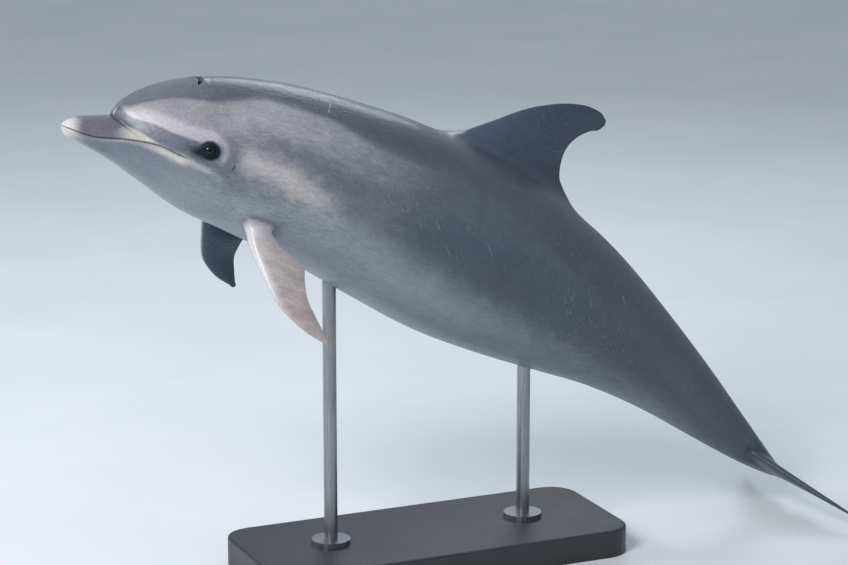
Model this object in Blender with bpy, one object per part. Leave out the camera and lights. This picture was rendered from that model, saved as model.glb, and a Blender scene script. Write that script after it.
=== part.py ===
# A life-size bottlenose dolphin, caught in the arc of a leap, on a plain display stand.
# Metres, +Z up. The dolphin faces -X and its left side is towards -Y. The origin is on the floor,
# under the middle of the stand's base.
# The body is drawn straight first, with its beak tip at x = 0, and is then bent along its spine.
import math

import bmesh
import bpy
import numpy as np

for old in list(bpy.data.objects):
    bpy.data.objects.remove(old)

# ---- driving dimensions ----
bodyLength = 2.60            # beak tip to the notch between the flukes
partGap = 0.0004             # clearance between neighbouring pieces
lowestFluke = 0.050          # flukes above the floor

# Lines of the straight body: (share of the length behind the beak tip, share of the length)
beakTop = [(0, 0.0040), (0.015, 0.0080), (0.030, 0.0112), (0.0475, 0.0155)]
backLine = [(0.0475, 0.0155), (0.0525, 0.0272), (0.062, 0.0382), (0.076, 0.0486), (0.10, 0.0612),
            (0.14, 0.0744), (0.20, 0.0855), (0.30, 0.0948), (0.42, 0.1015), (0.52, 0.0975),
            (0.62, 0.0820), (0.74, 0.0575), (0.86, 0.0350), (0.94, 0.0180), (1.0, 0.0025)]
bellyLine = [(0, -0.0125), (0.03, -0.0208), (0.06, -0.0308), (0.09, -0.0437), (0.14, -0.0640),
             (0.20, -0.0760), (0.30, -0.0893), (0.38, -0.1000), (0.46, -0.1060), (0.54, -0.1005),
             (0.62, -0.0860), (0.70, -0.0650), (0.78, -0.0465), (0.86, -0.0315), (0.93, -0.0180),
             (1.0, -0.0025)]
halfWidth = [(0, 0.0125), (0.03, 0.0190), (0.055, 0.0245), (0.075, 0.0335), (0.10, 0.0460), (0.13, 0.0580),
             (0.17, 0.0690), (0.22, 0.0780), (0.30, 0.0860), (0.38, 0.0890), (0.46, 0.0880), (0.54, 0.0805),
             (0.62, 0.0670), (0.70, 0.0505), (0.78, 0.0350), (0.86, 0.0230), (0.93, 0.0150), (1.0, 0.0080)]
# The lip line, then the widest line of the flank
sideLine = [(0, -0.0045), (0.03, -0.0075), (0.065, -0.0025), (0.09, -0.0010), (0.114, -0.0060),
            (0.20, -0.0060), (0.42, -0.0060), (0.62, 0.0), (1.0, 0.0)]
keelSharpness = [(0, 1.0), (0.50, 1.0), (0.65, 1.12), (0.80, 1.40), (0.92, 1.45), (1.0, 1.15)]
tipRound = 0.016             # how far back the rounding of the beak's tip reaches
chinRound = 0.009            # and that of the lower jaw, which is blunter
creaseAt = 0.0475            # where the melon rises from the beak
creaseSlant = 0.035          # how far the melon's edge runs back on its way down to the lip
slantGrows = (0.035, 0.055)
slantFades = (0.085, 0.140)

# How far the spine tips nose-up, in degrees, along the length
spinePitch = [(0, 14.5), (0.15, 16.5), (0.30, 23.5), (0.50, 29.0), (0.65, 36.0), (0.80, 42.0), (0.90, 42.0),
              (1.0, 36.0)]

# Where one piece of the body ends and the next begins
gapeAt = 0.114               # corner of the mouth
neckAt = 0.180
chestEndAt = 0.395
trunkEndAt = 0.700

# The parts of the body's surface that fins grow from: shares of the length, and degrees round the body
flipperStartAt = 0.190
flipperEndAt = 0.246
dorsalEndAt = 0.575
flukeStartAt = 0.915
flukeEndAt = 0.995
flipperLow = -56
flipperHigh = -32
dorsalSide = 77
flukeSide = 56

# Rows of the body's mesh: (where a band ends, how many rows the band has)
tipRows = 4
rowBands = [(creaseAt, 3), (0.0525, 1), (0.062, 1), (0.100, 3), (gapeAt, 1), (neckAt, 4),
            (flipperStartAt, 1), (flipperEndAt, 3), (chestEndAt, 5), (dorsalEndAt, 6), (trunkEndAt, 4),
            (0.800, 3), (flukeStartAt, 4), (flukeEndAt, 4)]
# Columns round the right half, from the belly's middle to the back's: (where a band ends, columns)
columnBands = [(flipperLow, 3), (flipperHigh, 4), (0, 2), (flukeSide, 4), (dorsalSide, 2), (90, 1)]

# Fins. A section is (leading edge a, b, trailing edge a, b, thickness) in the fin's own plane, in shares of
# the body's length. Sections 0 and 1 are the root, which the body's surface flows into.
dorsalSections = [(0.400, 0.092, 0.566, 0.090, 0.0200), (0.425, 0.1145, 0.5445, 0.1105, 0.0170),
                  (0.450, 0.1375, 0.5360, 0.1300, 0.0135), (0.476, 0.1625, 0.5350, 0.1470, 0.0105),
                  (0.505, 0.1830, 0.5400, 0.1610, 0.0080), (0.530, 0.1945, 0.5480, 0.1722, 0.0060),
                  (0.548, 0.1968, 0.5560, 0.1785, 0.0042), (0.556, 0.1935, 0.5590, 0.1850, 0.0030)]
dorsalTip = (0.5592, 0.1895)
flipperSections = [(-0.016, 0.006, 0.000, 0.0260, 0.0180), (0.006, -0.0050, 0.0215, 0.0210, 0.0160),
                   (0.020, -0.0120, 0.0365, 0.0203, 0.0140), (0.042, -0.0182, 0.0545, 0.0258, 0.0122),
                   (0.064, -0.0238, 0.0690, 0.0294, 0.0096), (0.084, -0.0262, 0.0840, 0.0192, 0.0072),
                   (0.1045, -0.0235, 0.1020, 0.0094, 0.0052), (0.128, -0.0163, 0.1240, 0.0055, 0.0034),
                   (0.1485, -0.0045, 0.1470, 0.0025, 0.0018)]
flipperTip = (0.1550, 0.0005)
flukeSections = [(0.004, 0.915, 0.004, 0.9965, 0.0200), (0.014, 0.928, 0.014, 1.0035, 0.0135),
                 (0.030, 0.942, 0.028, 1.0075, 0.0105), (0.052, 0.9585, 0.048, 1.0065, 0.0085),
                 (0.075, 0.9755, 0.070, 1.0055, 0.0065), (0.095, 0.992, 0.090, 1.0085, 0.0045),
                 (0.110, 1.007, 0.106, 1.0150, 0.0030), (0.1165, 1.0155, 0.115, 1.0190, 0.0020)]
flukeTip = (0.118, 1.0205)
# The flipper's plane: where its leading edge leaves the chest, and the ways to its tip and its trailing edge
flipperRoot = (0.2006, 0.0595, -0.0611)
flipperAlong = (0.668, 0.509, -0.542)
flipperAcross = (0.737, -0.352, 0.578)
finEdge = 0.0007             # half thickness that a fin keeps next to its edge
filletSteps = 3              # rings between the body's surface and a fin's root

eyeAt = (0.1395, 0.0059)     # behind the beak tip, and above the body's own axis
eyeRadius = 0.0190
eyeProud = 0.0050            # how far the eyeball stands out of the skin

blowholeAt = (0.1290, -0.0095)   # behind the beak tip, and to the left of the middle as in life
blowholeHalfSpan = 0.027     # from its middle to each horn of the crescent
blowholeCurl = 0.012         # how far forwards the horns reach
blowholeGroove = 0.0045      # radius of the groove's section
blowholeSteps = 12

weightAt = 0.43              # the share of the length that hangs over the middle of the stand
baseLength = 1.10
baseWidth = 0.46
baseThick = 0.080
baseCorner = 0.08
baseBevel = 0.006
rodRadius = 0.019
rodSpacing = 0.60
rodDepth = 0.070             # how far a rod runs up into the body
flangeRadius = 0.055
flangeThick = 0.014
softAngle = 40               # edges gentler than this, in degrees, look smooth

skinGrey = (0.12, 0.14, 0.18)
finGrey = (0.07, 0.085, 0.11)
bellyPale = (0.42, 0.42, 0.43)
eyeDark = (0.012, 0.010, 0.010)
baseGrey = (0.035, 0.037, 0.040)
steelGrey = (0.55, 0.56, 0.57)


# ---- curves and the body's surface ----
def smooth(knots, at):
    x, y = np.array(knots, float).T
    gap = np.diff(x)
    rise = np.diff(y) / gap
    inner = (rise[:-1] * gap[1:] + rise[1:] * gap[:-1]) / (gap[1:] + gap[:-1])
    slope = np.concatenate([rise[:1], inner, rise[-1:]])
    at = np.clip(at, x[0], x[-1])
    i = np.clip(np.searchsorted(x, at, side="right") - 1, 0, len(x) - 2)
    t = (at - x[i]) / gap[i]
    start = (1 + 2 * t) * (1 - t) ** 2 * y[i] + t * (1 - t) ** 2 * gap[i] * slope[i]
    end = t * t * (3 - 2 * t) * y[i + 1] - t * t * (1 - t) * gap[i] * slope[i + 1]
    return start + end


def step(low, high, at):
    t = np.clip((at - low) / (high - low), 0, 1)
    return t * t * (3 - 2 * t)


def bodyPoint(share, angle):
    # A point of the straight body's surface. Angle 0 is the right side, 90 the back, 180 the left side.
    share = np.asarray(share, float)
    turn = np.radians(angle)
    across = np.cos(turn)
    up = np.sin(turn)
    blunt = np.sqrt(1 - (1 - np.clip(share / tipRound, 0, 1)) ** 2)
    bluntChin = np.sqrt(1 - (1 - np.clip(share / chinRound, 0, 1)) ** 2)
    slant = creaseSlant * step(*slantGrows, share) * (1 - step(*slantFades, share)) * (1 - np.abs(up))
    level = smooth(sideLine, share)
    lead = share - slant
    back = np.where(lead < creaseAt, smooth(beakTop, lead), smooth(backLine, lead)) - level
    belly = level - smooth(bellyLine, share)
    sharp = smooth(keelSharpness, share)
    y = blunt * smooth(halfWidth, share) * np.sign(across) * np.abs(across) ** sharp
    z = level + np.where(up > 0, blunt * back, bluntChin * belly) * up
    return np.stack([share + 0 * y, y, z], -1) * bodyLength


def surfaceNormal(share, angle):
    along = bodyPoint(share + 0.002, angle) - bodyPoint(share - 0.002, angle)
    around = bodyPoint(share, angle + 1.0) - bodyPoint(share, angle - 1.0)
    normal = np.cross(around, along)
    return normal / np.linalg.norm(normal)


def bend(points):
    # Carries points of the straight body onto its curved spine.
    points = np.asarray(points, float)
    fine = np.linspace(0, 1, 801)
    pitch = np.radians(smooth(spinePitch, fine))
    stride = bodyLength / 800
    x = np.concatenate([[0], np.cumsum((np.cos(pitch[1:]) + np.cos(pitch[:-1])) / 2 * stride)])
    z = np.concatenate([[0], np.cumsum((np.sin(pitch[1:]) + np.sin(pitch[:-1])) / -2 * stride)])
    share = points[..., 0] / bodyLength
    beyond = (share - np.clip(share, 0, 1)) * bodyLength
    tilt = np.interp(share, fine, pitch)
    bentX = np.interp(share, fine, x) + beyond * np.cos(tilt) + points[..., 2] * np.sin(tilt)
    bentZ = np.interp(share, fine, z) - beyond * np.sin(tilt) + points[..., 2] * np.cos(tilt)
    return np.stack([bentX, points[..., 1], bentZ], -1)


# ---- the body's mesh, straight ----
def bandEnds(start, bands):
    marks = [start]
    for end, count in bands:
        marks.extend(np.linspace(marks[-1], end, count + 1)[1:])
    return marks


tipShares = [tipRound * (1 - math.cos(math.radians(90 * k / tipRows))) for k in range(1, tipRows)]
rowShares = tipShares + bandEnds(tipRound, rowBands)
rightAngles = bandEnds(-90, columnBands)
columnAngles = rightAngles + [180 - a for a in reversed(rightAngles[1:-1])]
columns = len(columnAngles)
rows = len(rowShares)
points = []                  # straight positions of every vertex


def addPoints(places):
    first = len(points)
    points.extend(np.asarray(places, float).reshape(-1, 3))
    return list(range(first, len(points)))


def rowAt(share):
    return int(np.argmin(np.abs(np.array(rowShares) - share)))


def columnAt(angle):
    return int(np.argmin(np.abs(np.array(columnAngles) - angle)))


grid = [addPoints(bodyPoint(share, np.array(columnAngles))) for share in rowShares]
beakTip = addPoints(np.array([[0, 0, sideLine[0][1] * bodyLength]]))[0]
tailEnd = addPoints(np.array([[bodyLength, 0, 0]]))[0]


def quads(firstRow, lastRow, firstColumn=0, lastColumn=None, skip=()):
    faces = []
    for i in range(firstRow, lastRow):
        for j in range(firstColumn, columns if lastColumn is None else lastColumn):
            inSkip = any(a <= i < b and c <= j < d for a, b, c, d in skip)
            if not inSkip:
                k = (j + 1) % columns
                faces.append((grid[i][j], grid[i][k], grid[i + 1][k], grid[i + 1][j]))
    return faces


# ---- fins, grown out of a rectangle of the body's mesh ----
def finSection(section, turn, frame):
    origin, along, across, normal = frame
    leadA, leadB, trailA, trailB, thick = [value * bodyLength for value in section]
    chord = (1 - np.cos(turn)) / 2
    foil = 5 * (0.2969 * np.sqrt(chord) - 0.126 * chord - 0.3516 * chord ** 2 + 0.2843 * chord ** 3
                - 0.1036 * chord ** 4)
    half = thick * foil * np.sign(np.sin(turn)) + finEdge * np.sin(turn)
    a = leadA + (trailA - leadA) * chord
    b = leadB + (trailB - leadB) * chord
    return origin + np.outer(a, along) + np.outer(b, across) + np.outer(half, normal)


def growFin(patch, frame, sections, tip, steps):
    # Returns the rings of vertices from the body's surface to the fin's last section, and the tip's vertex.
    top, bottom, left, right = patch
    middle = (left + right) // 2
    walk = [(top, j) for j in range(middle, right)] + [(i, right) for i in range(top, bottom)]
    walk += [(bottom, j) for j in range(right, left, -1)] + [(i, left) for i in range(bottom, top, -1)]
    walk += [(top, j) for j in range(left, middle)]
    walk = [(i, j % columns) for i, j in walk]
    turn = np.arange(len(walk)) * 2 * math.pi / len(walk)
    start = np.array([points[grid[i][j]] for i, j in walk])
    normals = np.array([surfaceNormal(rowShares[i], columnAngles[j]) for i, j in walk])
    inner = finSection(sections[0], turn, frame)
    outer = finSection(sections[1], turn, frame)
    leave = inner - start
    leave -= normals * np.sum(leave * normals, axis=1)[:, None]
    arrive = outer - inner
    rings = [[grid[i][j] for i, j in walk]]
    for k in range(1, filletSteps + 1):
        t = k / (filletSteps + 1)
        place = (1 + 2 * t) * (1 - t) ** 2 * start + t * (1 - t) ** 2 * leave
        place = place + t * t * (3 - 2 * t) * outer - t * t * (1 - t) * arrive
        rings.append(addPoints(place))
    table = np.array(sections)
    places = np.linspace(1, len(sections) - 1, (len(sections) - 2) * steps + 1)
    marks = np.arange(len(sections))
    for at in places:
        section = [float(smooth(list(zip(marks, column)), at)) for column in table.T]
        rings.append(addPoints(finSection(section, turn, frame)))
    origin, along, across, normal = frame
    tipPlace = origin + along * tip[0] * bodyLength + across * tip[1] * bodyLength
    return rings, addPoints([tipPlace])[0]


def ringFaces(rings):
    faces = []
    for near, far in zip(rings[:-1], rings[1:]):
        for m in range(len(near)):
            n = (m + 1) % len(near)
            faces.append((near[m], near[n], far[n], far[m]))
    return faces


def fan(ring, centre):
    return [(ring[m], ring[(m + 1) % len(ring)], centre) for m in range(len(ring))]


def mirrored(vector):
    return np.array(vector, float) * (1, -1, 1)


origin = np.zeros(3)
outward = np.cross(flipperAcross, flipperAlong)
outward /= np.linalg.norm(outward)
flipperOrigin = np.array(flipperRoot) * bodyLength
flipperRows = (rowAt(flipperStartAt), rowAt(flipperEndAt))
flukeRows = (rowAt(flukeStartAt), rowAt(flukeEndAt))
patches = {
    "dorsal_fin": (rowAt(chestEndAt), rowAt(dorsalEndAt), columnAt(dorsalSide), columnAt(180 - dorsalSide)),
    "flipper_right": flipperRows + (columnAt(flipperLow), columnAt(flipperHigh)),
    "flipper_left": flipperRows + (columnAt(180 - flipperHigh), columnAt(180 - flipperLow)),
    "fluke_right": flukeRows + (columnAt(-flukeSide), columnAt(flukeSide)),
    "fluke_left": flukeRows + (columnAt(180 - flukeSide), columnAt(180 + flukeSide)),
}
xAxis, yAxis, zAxis = np.eye(3)
frames = {
    "dorsal_fin": (origin, xAxis, zAxis, -yAxis),
    "flipper_right": (flipperOrigin, np.array(flipperAlong), np.array(flipperAcross), outward),
    "flipper_left": (mirrored(flipperOrigin), mirrored(flipperAlong), mirrored(flipperAcross),
                     -mirrored(outward)),
    "fluke_right": (origin, yAxis, xAxis, zAxis),
    "fluke_left": (origin, -yAxis, xAxis, -zAxis),
}
shapes = {"dorsal": (dorsalSections, dorsalTip, 2), "flipper": (flipperSections, flipperTip, 2),
          "fluke": (flukeSections, flukeTip, 1)}         # the last number is the rings for each section
fins = {name: growFin(patch, frames[name], *shapes[name.split("_")[0]]) for name, patch in patches.items()}
rootRing = filletSteps + 1   # the ring where a fin's own piece begins


# ---- pieces ----
def material(name, colour, roughness, metallic=0.0):
    made = bpy.data.materials.new(name)
    made.use_nodes = True
    shader = made.node_tree.nodes["Principled BSDF"]
    shader.inputs["Base Color"].default_value = (*colour, 1)
    shader.inputs["Roughness"].default_value = roughness
    shader.inputs["Metallic"].default_value = metallic
    return made


def addObject(name, mesh, look):
    made = bpy.data.objects.new(name, mesh)
    bpy.context.collection.objects.link(made)
    mesh.materials.append(look)
    mesh.shade_smooth()
    mesh.set_sharp_from_angle(angle=math.radians(softAngle))
    return made


def fleshPiece(name, faces, colour, moves=(), caps=()):
    # moves: (vertices, offset in the straight body); caps: rings to close, each with a fan
    places = np.array(points)
    for vertices, offset in moves:
        places[list(vertices)] += offset
    places = list(places)
    closed = list(faces)
    for ring in caps:
        places.append(np.mean([places[v] for v in ring], axis=0))
        closed += fan(ring, len(places) - 1)
    used = sorted({v for face in closed for v in face})
    renumber = {v: k for k, v in enumerate(used)}
    settled = bend([places[v] for v in used]) + standShift
    mesh = bpy.data.meshes.new(name)
    mesh.from_pydata(settled.tolist(), [], [[renumber[v] for v in face] for face in closed])
    shape = bmesh.new()
    shape.from_mesh(mesh)
    bmesh.ops.recalc_face_normals(shape, faces=shape.faces)
    shape.to_mesh(mesh)
    shape.free()
    return addObject(name, mesh, material(name + "_skin", colour, 0.35))


def apply(target, modifier):
    bpy.context.view_layer.objects.active = target
    bpy.ops.object.modifier_apply(modifier=modifier.name)


def cut(target, cutters):
    for cutter in cutters:
        cutter.hide_render = True
        cutter.display_type = "WIRE"
        difference = target.modifiers.new("cut", "BOOLEAN")
        difference.operation = "DIFFERENCE"
        difference.solver = "EXACT"
        difference.object = cutter
        apply(target, difference)
        bpy.data.objects.remove(cutter)


def ball(name, centre, radius, look, segments=20):
    mesh = bpy.data.meshes.new(name)
    shape = bmesh.new()
    bmesh.ops.create_uvsphere(shape, u_segments=segments, v_segments=segments // 2, radius=radius)
    shape.to_mesh(mesh)
    shape.free()
    made = addObject(name, mesh, look)
    made.location = centre
    return made


def cylinder(name, centre, radius, height, look, sides=24):
    mesh = bpy.data.meshes.new(name)
    shape = bmesh.new()
    bmesh.ops.create_cone(shape, cap_ends=True, segments=sides, radius1=radius, radius2=radius, depth=height)
    shape.to_mesh(mesh)
    shape.free()
    made = addObject(name, mesh, look)
    made.location = centre
    return made


# The body hangs over the stand: its weight is above the base, and its flukes clear the floor.
bent = bend(np.array(points))
centreOfWeight = bend([[weightAt * bodyLength, 0, 0]])[0][0]
standShift = np.array([-centreOfWeight, 0, lowestFluke - bent[:, 2].min()])

back = (partGap / 2) * xAxis
lift = (partGap / 2) * zAxis
gapeRow, neckRow, chestEnd, trunkEnd = rowAt(gapeAt), rowAt(neckAt), rowAt(chestEndAt), rowAt(trunkEndAt)
rightLip, leftLip = columnAt(0), columnAt(180)
lowerColumns = list(range(leftLip, columns)) + list(range(0, rightLip + 1))


def lowerFaces(first, last):
    return quads(first, last, 0, rightLip) + quads(first, last, leftLip, columns)


mouthFaces = [(beakTip, grid[0][rightLip], grid[0][leftLip])]
for i in range(gapeRow):
    mouthFaces.append((grid[i][rightLip], grid[i + 1][rightLip], grid[i + 1][leftLip], grid[i][leftLip]))
lipVertices = [grid[i][j] for i in range(gapeRow + 1) for j in (rightLip, leftLip)] + [beakTip]
jawRing = [grid[gapeRow][j] for j in lowerColumns]
tipFan = [(grid[0][j], grid[0][(j + 1) % columns], beakTip) for j in range(columns)]


def rootMove(name, way):
    return (fins[name][0][rootRing], frames[name][1] * way * partGap / 2)


def finPiece(name, colour):
    rings, tip = fins[name]
    faces = ringFaces(rings[rootRing:]) + fan(rings[-1], tip)
    return fleshPiece(name, faces, colour, [rootMove(name, 1)], [rings[rootRing]])


def trunkPiece(name, first, last, colour, grown, extra=(), ends=()):
    # A length of the body, with the roots of the fins that grow from it
    faces = quads(first, last, skip=[patches[fin] for fin in grown]) + list(extra)
    for fin in grown:
        faces += ringFaces(fins[fin][0][:rootRing + 1])
    moves = [(grid[row], offset) for row, offset in ends] + [rootMove(fin, -1) for fin in grown]
    caps = [grid[row] for row, offset in ends] + [fins[fin][0][rootRing] for fin in grown]
    return fleshPiece(name, faces, colour, moves, caps)


jawFaces = [tipFan[j] for j in lowerColumns[:-1]] + lowerFaces(0, gapeRow) + mouthFaces
fleshPiece("lower_jaw", jawFaces, bellyPale,
           [(lipVertices, -lift), (jawRing, -back)], [jawRing])
head = fleshPiece("head", tipFan[rightLip:leftLip] + quads(0, gapeRow, rightLip, leftLip) + mouthFaces
                  + quads(gapeRow, neckRow), skinGrey,
                  [(lipVertices, lift), (jawRing, back), (grid[neckRow], -back)], [jawRing, grid[neckRow]])
chest = trunkPiece("chest", neckRow, chestEnd, skinGrey, ["flipper_left", "flipper_right"],
                   ends=[(neckRow, back), (chestEnd, -back)])
trunk = trunkPiece("trunk", chestEnd, trunkEnd, skinGrey, ["dorsal_fin"],
                   ends=[(chestEnd, back), (trunkEnd, -back)])
tailFan = [(grid[-1][j], grid[-1][(j + 1) % columns], tailEnd) for j in range(columns)]
trunkPiece("tail_stock", trunkEnd, rows - 1, finGrey, ["fluke_left", "fluke_right"], tailFan,
           [(trunkEnd, back)])
for name in fins:
    finPiece(name, finGrey)

# Eyes, each in its own socket
darkEye = material("eye_dark", eyeDark, 0.05)
for side, angle in (("right", 0), ("left", 180)):
    way = 1 if side == "right" else -1
    share, height = eyeAt
    ring = bodyPoint(share, np.linspace(-60, 60, 481))
    surface = ring[np.argmin(np.abs(ring[:, 2] - height * bodyLength))]
    centre = surface * (1, way, 1) - np.array([0, way * (eyeRadius - eyeProud), 0])
    place = (bend([centre])[0] + standShift).tolist()
    cut(head, [ball("socket", place, eyeRadius + partGap, darkEye)])
    ball("eye_" + side, place, eyeRadius, darkEye)

# Blowhole: a crescent groove across the top of the head, its horns pointing forwards
def crownPoint(x, y):
    share = x / bodyLength
    level = float(smooth(sideLine, share))
    rise = float(smooth(backLine, share)) - level
    across = y / bodyLength / float(smooth(halfWidth, share))
    return (x, y, (level + rise * math.sqrt(1 - across ** 2)) * bodyLength)


arc = [math.pi * (step / blowholeSteps - 0.5) for step in range(blowholeSteps + 1)]
curve = bpy.data.curves.new("crescent", "CURVE")
curve.dimensions = "3D"
curve.bevel_depth = blowholeGroove
curve.bevel_resolution = 2
curve.use_fill_caps = True
line = curve.splines.new("POLY")
line.points.add(len(arc) - 1)
for point, turn in zip(line.points, arc):
    forwards = blowholeCurl * math.sin(turn) ** 2
    sideways = blowholeHalfSpan * math.sin(turn)
    straight = crownPoint(blowholeAt[0] * bodyLength - forwards, blowholeAt[1] * bodyLength + sideways)
    point.co = (*(bend([straight])[0] + standShift), 1)
crescentCurve = bpy.data.objects.new("crescent", curve)
bpy.context.collection.objects.link(crescentCurve)
crescent = bpy.data.objects.new("crescent_cutter", bpy.data.meshes.new_from_object(crescentCurve))
bpy.context.collection.objects.link(crescent)
bpy.data.objects.remove(crescentCurve)
cut(head, [crescent])


# ---- stand ----
def roundedPlate(name, length, width, thick, corner, bevel, look):
    shape = bmesh.new()
    outline = []
    for middleX, middleY, first in ((1, 1, 0), (-1, 1, 90), (-1, -1, 180), (1, -1, 270)):
        for turn in range(first, first + 91, 15):
            x = middleX * (length / 2 - corner) + corner * math.cos(math.radians(turn))
            y = middleY * (width / 2 - corner) + corner * math.sin(math.radians(turn))
            outline.append(shape.verts.new((x, y, 0)))
    bottom = shape.faces.new(outline)
    raised = bmesh.ops.extrude_face_region(shape, geom=[bottom])
    topVertices = [v for v in raised["geom"] if isinstance(v, bmesh.types.BMVert)]
    bmesh.ops.translate(shape, verts=topVertices, vec=(0, 0, thick))
    rim = [e for e in shape.edges if all(v in topVertices for v in e.verts)]
    bmesh.ops.bevel(shape, geom=rim, offset=bevel, segments=2, profile=0.5, affect="EDGES")
    bmesh.ops.recalc_face_normals(shape, faces=shape.faces)
    mesh = bpy.data.meshes.new(name)
    shape.to_mesh(mesh)
    shape.free()
    return addObject(name, mesh, look)


def bellyHeight(target, x):
    # The height of the piece's underside straight above the base at x
    bpy.context.view_layer.update()
    hit, place, normal, face = target.ray_cast((x, 0, -1), (0, 0, 1))
    return place.z


basePaint = material("base_paint", baseGrey, 0.45)
steel = material("rod_steel", steelGrey, 0.3, 1.0)
base = roundedPlate("stand_base", baseLength, baseWidth, baseThick, baseCorner, baseBevel, basePaint)
for name, x, target in (("front", -rodSpacing / 2, chest), ("rear", rodSpacing / 2, trunk)):
    low = baseThick + partGap
    high = bellyHeight(target, x) + rodDepth
    cut(target, [cylinder("hole", (x, 0, high / 2), rodRadius + partGap, high + 2 * partGap, steel)])
    cylinder("stand_rod_" + name, (x, 0, (low + high) / 2), rodRadius, high - low, steel)
    flange = cylinder("stand_flange_" + name, (x, 0, low + flangeThick / 2), flangeRadius, flangeThick, steel)
    flange.data.transform(flange.matrix_basis)
    flange.matrix_basis.identity()
    cut(flange, [cylinder("hole", (x, 0, high / 2), rodRadius + partGap, high, steel)])
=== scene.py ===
import math

import bmesh
import bpy
import numpy as np
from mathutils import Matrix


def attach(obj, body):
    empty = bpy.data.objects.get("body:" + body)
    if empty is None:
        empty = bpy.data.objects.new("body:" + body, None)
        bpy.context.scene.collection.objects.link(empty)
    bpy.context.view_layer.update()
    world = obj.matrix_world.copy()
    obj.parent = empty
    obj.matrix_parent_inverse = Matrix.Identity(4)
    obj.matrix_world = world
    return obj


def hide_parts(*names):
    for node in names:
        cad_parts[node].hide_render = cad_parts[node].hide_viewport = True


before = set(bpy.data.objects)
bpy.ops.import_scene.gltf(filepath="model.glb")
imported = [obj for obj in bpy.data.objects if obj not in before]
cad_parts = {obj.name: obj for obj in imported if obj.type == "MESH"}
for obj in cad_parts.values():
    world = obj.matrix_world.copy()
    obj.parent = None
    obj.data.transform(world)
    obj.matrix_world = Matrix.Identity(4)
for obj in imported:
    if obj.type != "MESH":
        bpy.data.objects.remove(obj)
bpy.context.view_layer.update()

print("frame loaded:", len(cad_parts), "nodes")

# The dolphin's lines, drawn straight, in shares of its length behind the beak tip, the same as the solids'
body = {
    "length": 2.6,
    "spineStart": (-1.048, 0.0, 1.34257),  # where the beak tip comes to, over the stand
    "beakTop": [(0, 0.004), (0.015, 0.008), (0.03, 0.0112), (0.0475, 0.0155)],
    "backLine": [
        (0.0475, 0.0155), (0.0525, 0.0272), (0.062, 0.0382), (0.076, 0.0486), (0.1, 0.0612),
        (0.14, 0.0744), (0.2, 0.0855), (0.3, 0.0948), (0.42, 0.1015), (0.52, 0.0975), (0.62, 0.082),
        (0.74, 0.0575), (0.86, 0.035), (0.94, 0.018), (1.0, 0.0025)],
    "bellyLine": [
        (0, -0.0125), (0.03, -0.0208), (0.06, -0.0308), (0.09, -0.0437), (0.14, -0.064), (0.2, -0.076),
        (0.3, -0.0893), (0.38, -0.1), (0.46, -0.106), (0.54, -0.1005), (0.62, -0.086),
        (0.7, -0.065), (0.78, -0.0465), (0.86, -0.0315), (0.93, -0.018), (1.0, -0.0025)],
    "halfWidth": [
        (0, 0.0125), (0.03, 0.019), (0.055, 0.0245), (0.075, 0.0335), (0.1, 0.046), (0.13, 0.058),
        (0.17, 0.069), (0.22, 0.078), (0.3, 0.086), (0.38, 0.089), (0.46, 0.088), (0.54, 0.0805),
        (0.62, 0.067), (0.7, 0.0505), (0.78, 0.035), (0.86, 0.023), (0.93, 0.015), (1.0, 0.008)],
    "sideLine": [
        (0, -0.0045), (0.03, -0.0075), (0.065, -0.0025), (0.09, -0.001), (0.114, -0.006), (0.2, -0.006),
        (0.42, -0.006), (0.62, 0.0), (1.0, 0.0)],
    "keelSharpness": [(0, 1.0), (0.5, 1.0), (0.65, 1.12), (0.8, 1.4), (0.92, 1.45), (1.0, 1.15)],
    "tipRound": 0.016,  # how far back the rounding of the upper beak's tip reaches
    "chinRound": 0.009,  # and that of the lower jaw, which is blunter
    "creaseAt": 0.0475,  # where the melon begins, at the top of the beak
    "creaseSlant": 0.035,  # how much farther back it begins at the lips
    "slantGrows": (0.035, 0.055),
    "slantFades": (0.085, 0.14),
    "spinePitch": [
        (0, 14.5), (0.15, 16.5), (0.3, 23.5), (0.5, 29.0), (0.65, 36.0), (0.8, 42.0), (0.9, 42.0),
        (1.0, 36.0)],
}
length = body["length"]


def curve(t, start, leave, end, arrive):
    # from start to end as t goes from 0 to 1, with its slopes at both
    value = (1 + 2 * t) * (1 - t) ** 2 * start + t * (1 - t) ** 2 * leave
    return value + t * t * (3 - 2 * t) * end - t * t * (1 - t) * arrive


def smooth(knots, at):
    # a smooth curve through the knots
    x, y = np.array(knots, float).T
    gap = np.diff(x)
    rise = np.diff(y) / gap
    between = (rise[:-1] * gap[1:] + rise[1:] * gap[:-1]) / (gap[1:] + gap[:-1])
    slope = np.concatenate([rise[:1], between, rise[-1:]])
    at = np.clip(at, x[0], x[-1])
    i = np.clip(np.searchsorted(x, at, side="right") - 1, 0, len(x) - 2)
    return curve((at - x[i]) / gap[i], y[i], gap[i] * slope[i], y[i + 1], gap[i] * slope[i + 1])


def step(low, high, at):
    t = np.clip((at - low) / (high - low), 0, 1)
    return t * t * (3 - 2 * t)


def bump(at, middle, spread):
    return np.exp(-((at - middle) / spread) ** 2)


def unit(vector):
    return vector / np.linalg.norm(vector, axis=-1)[..., None]


def meltSlant(share):
    # how far the melon's edge leans back, which dies away behind it
    return body["creaseSlant"] * step(*body["slantGrows"], share) * (1 - step(*body["slantFades"], share))


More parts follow.
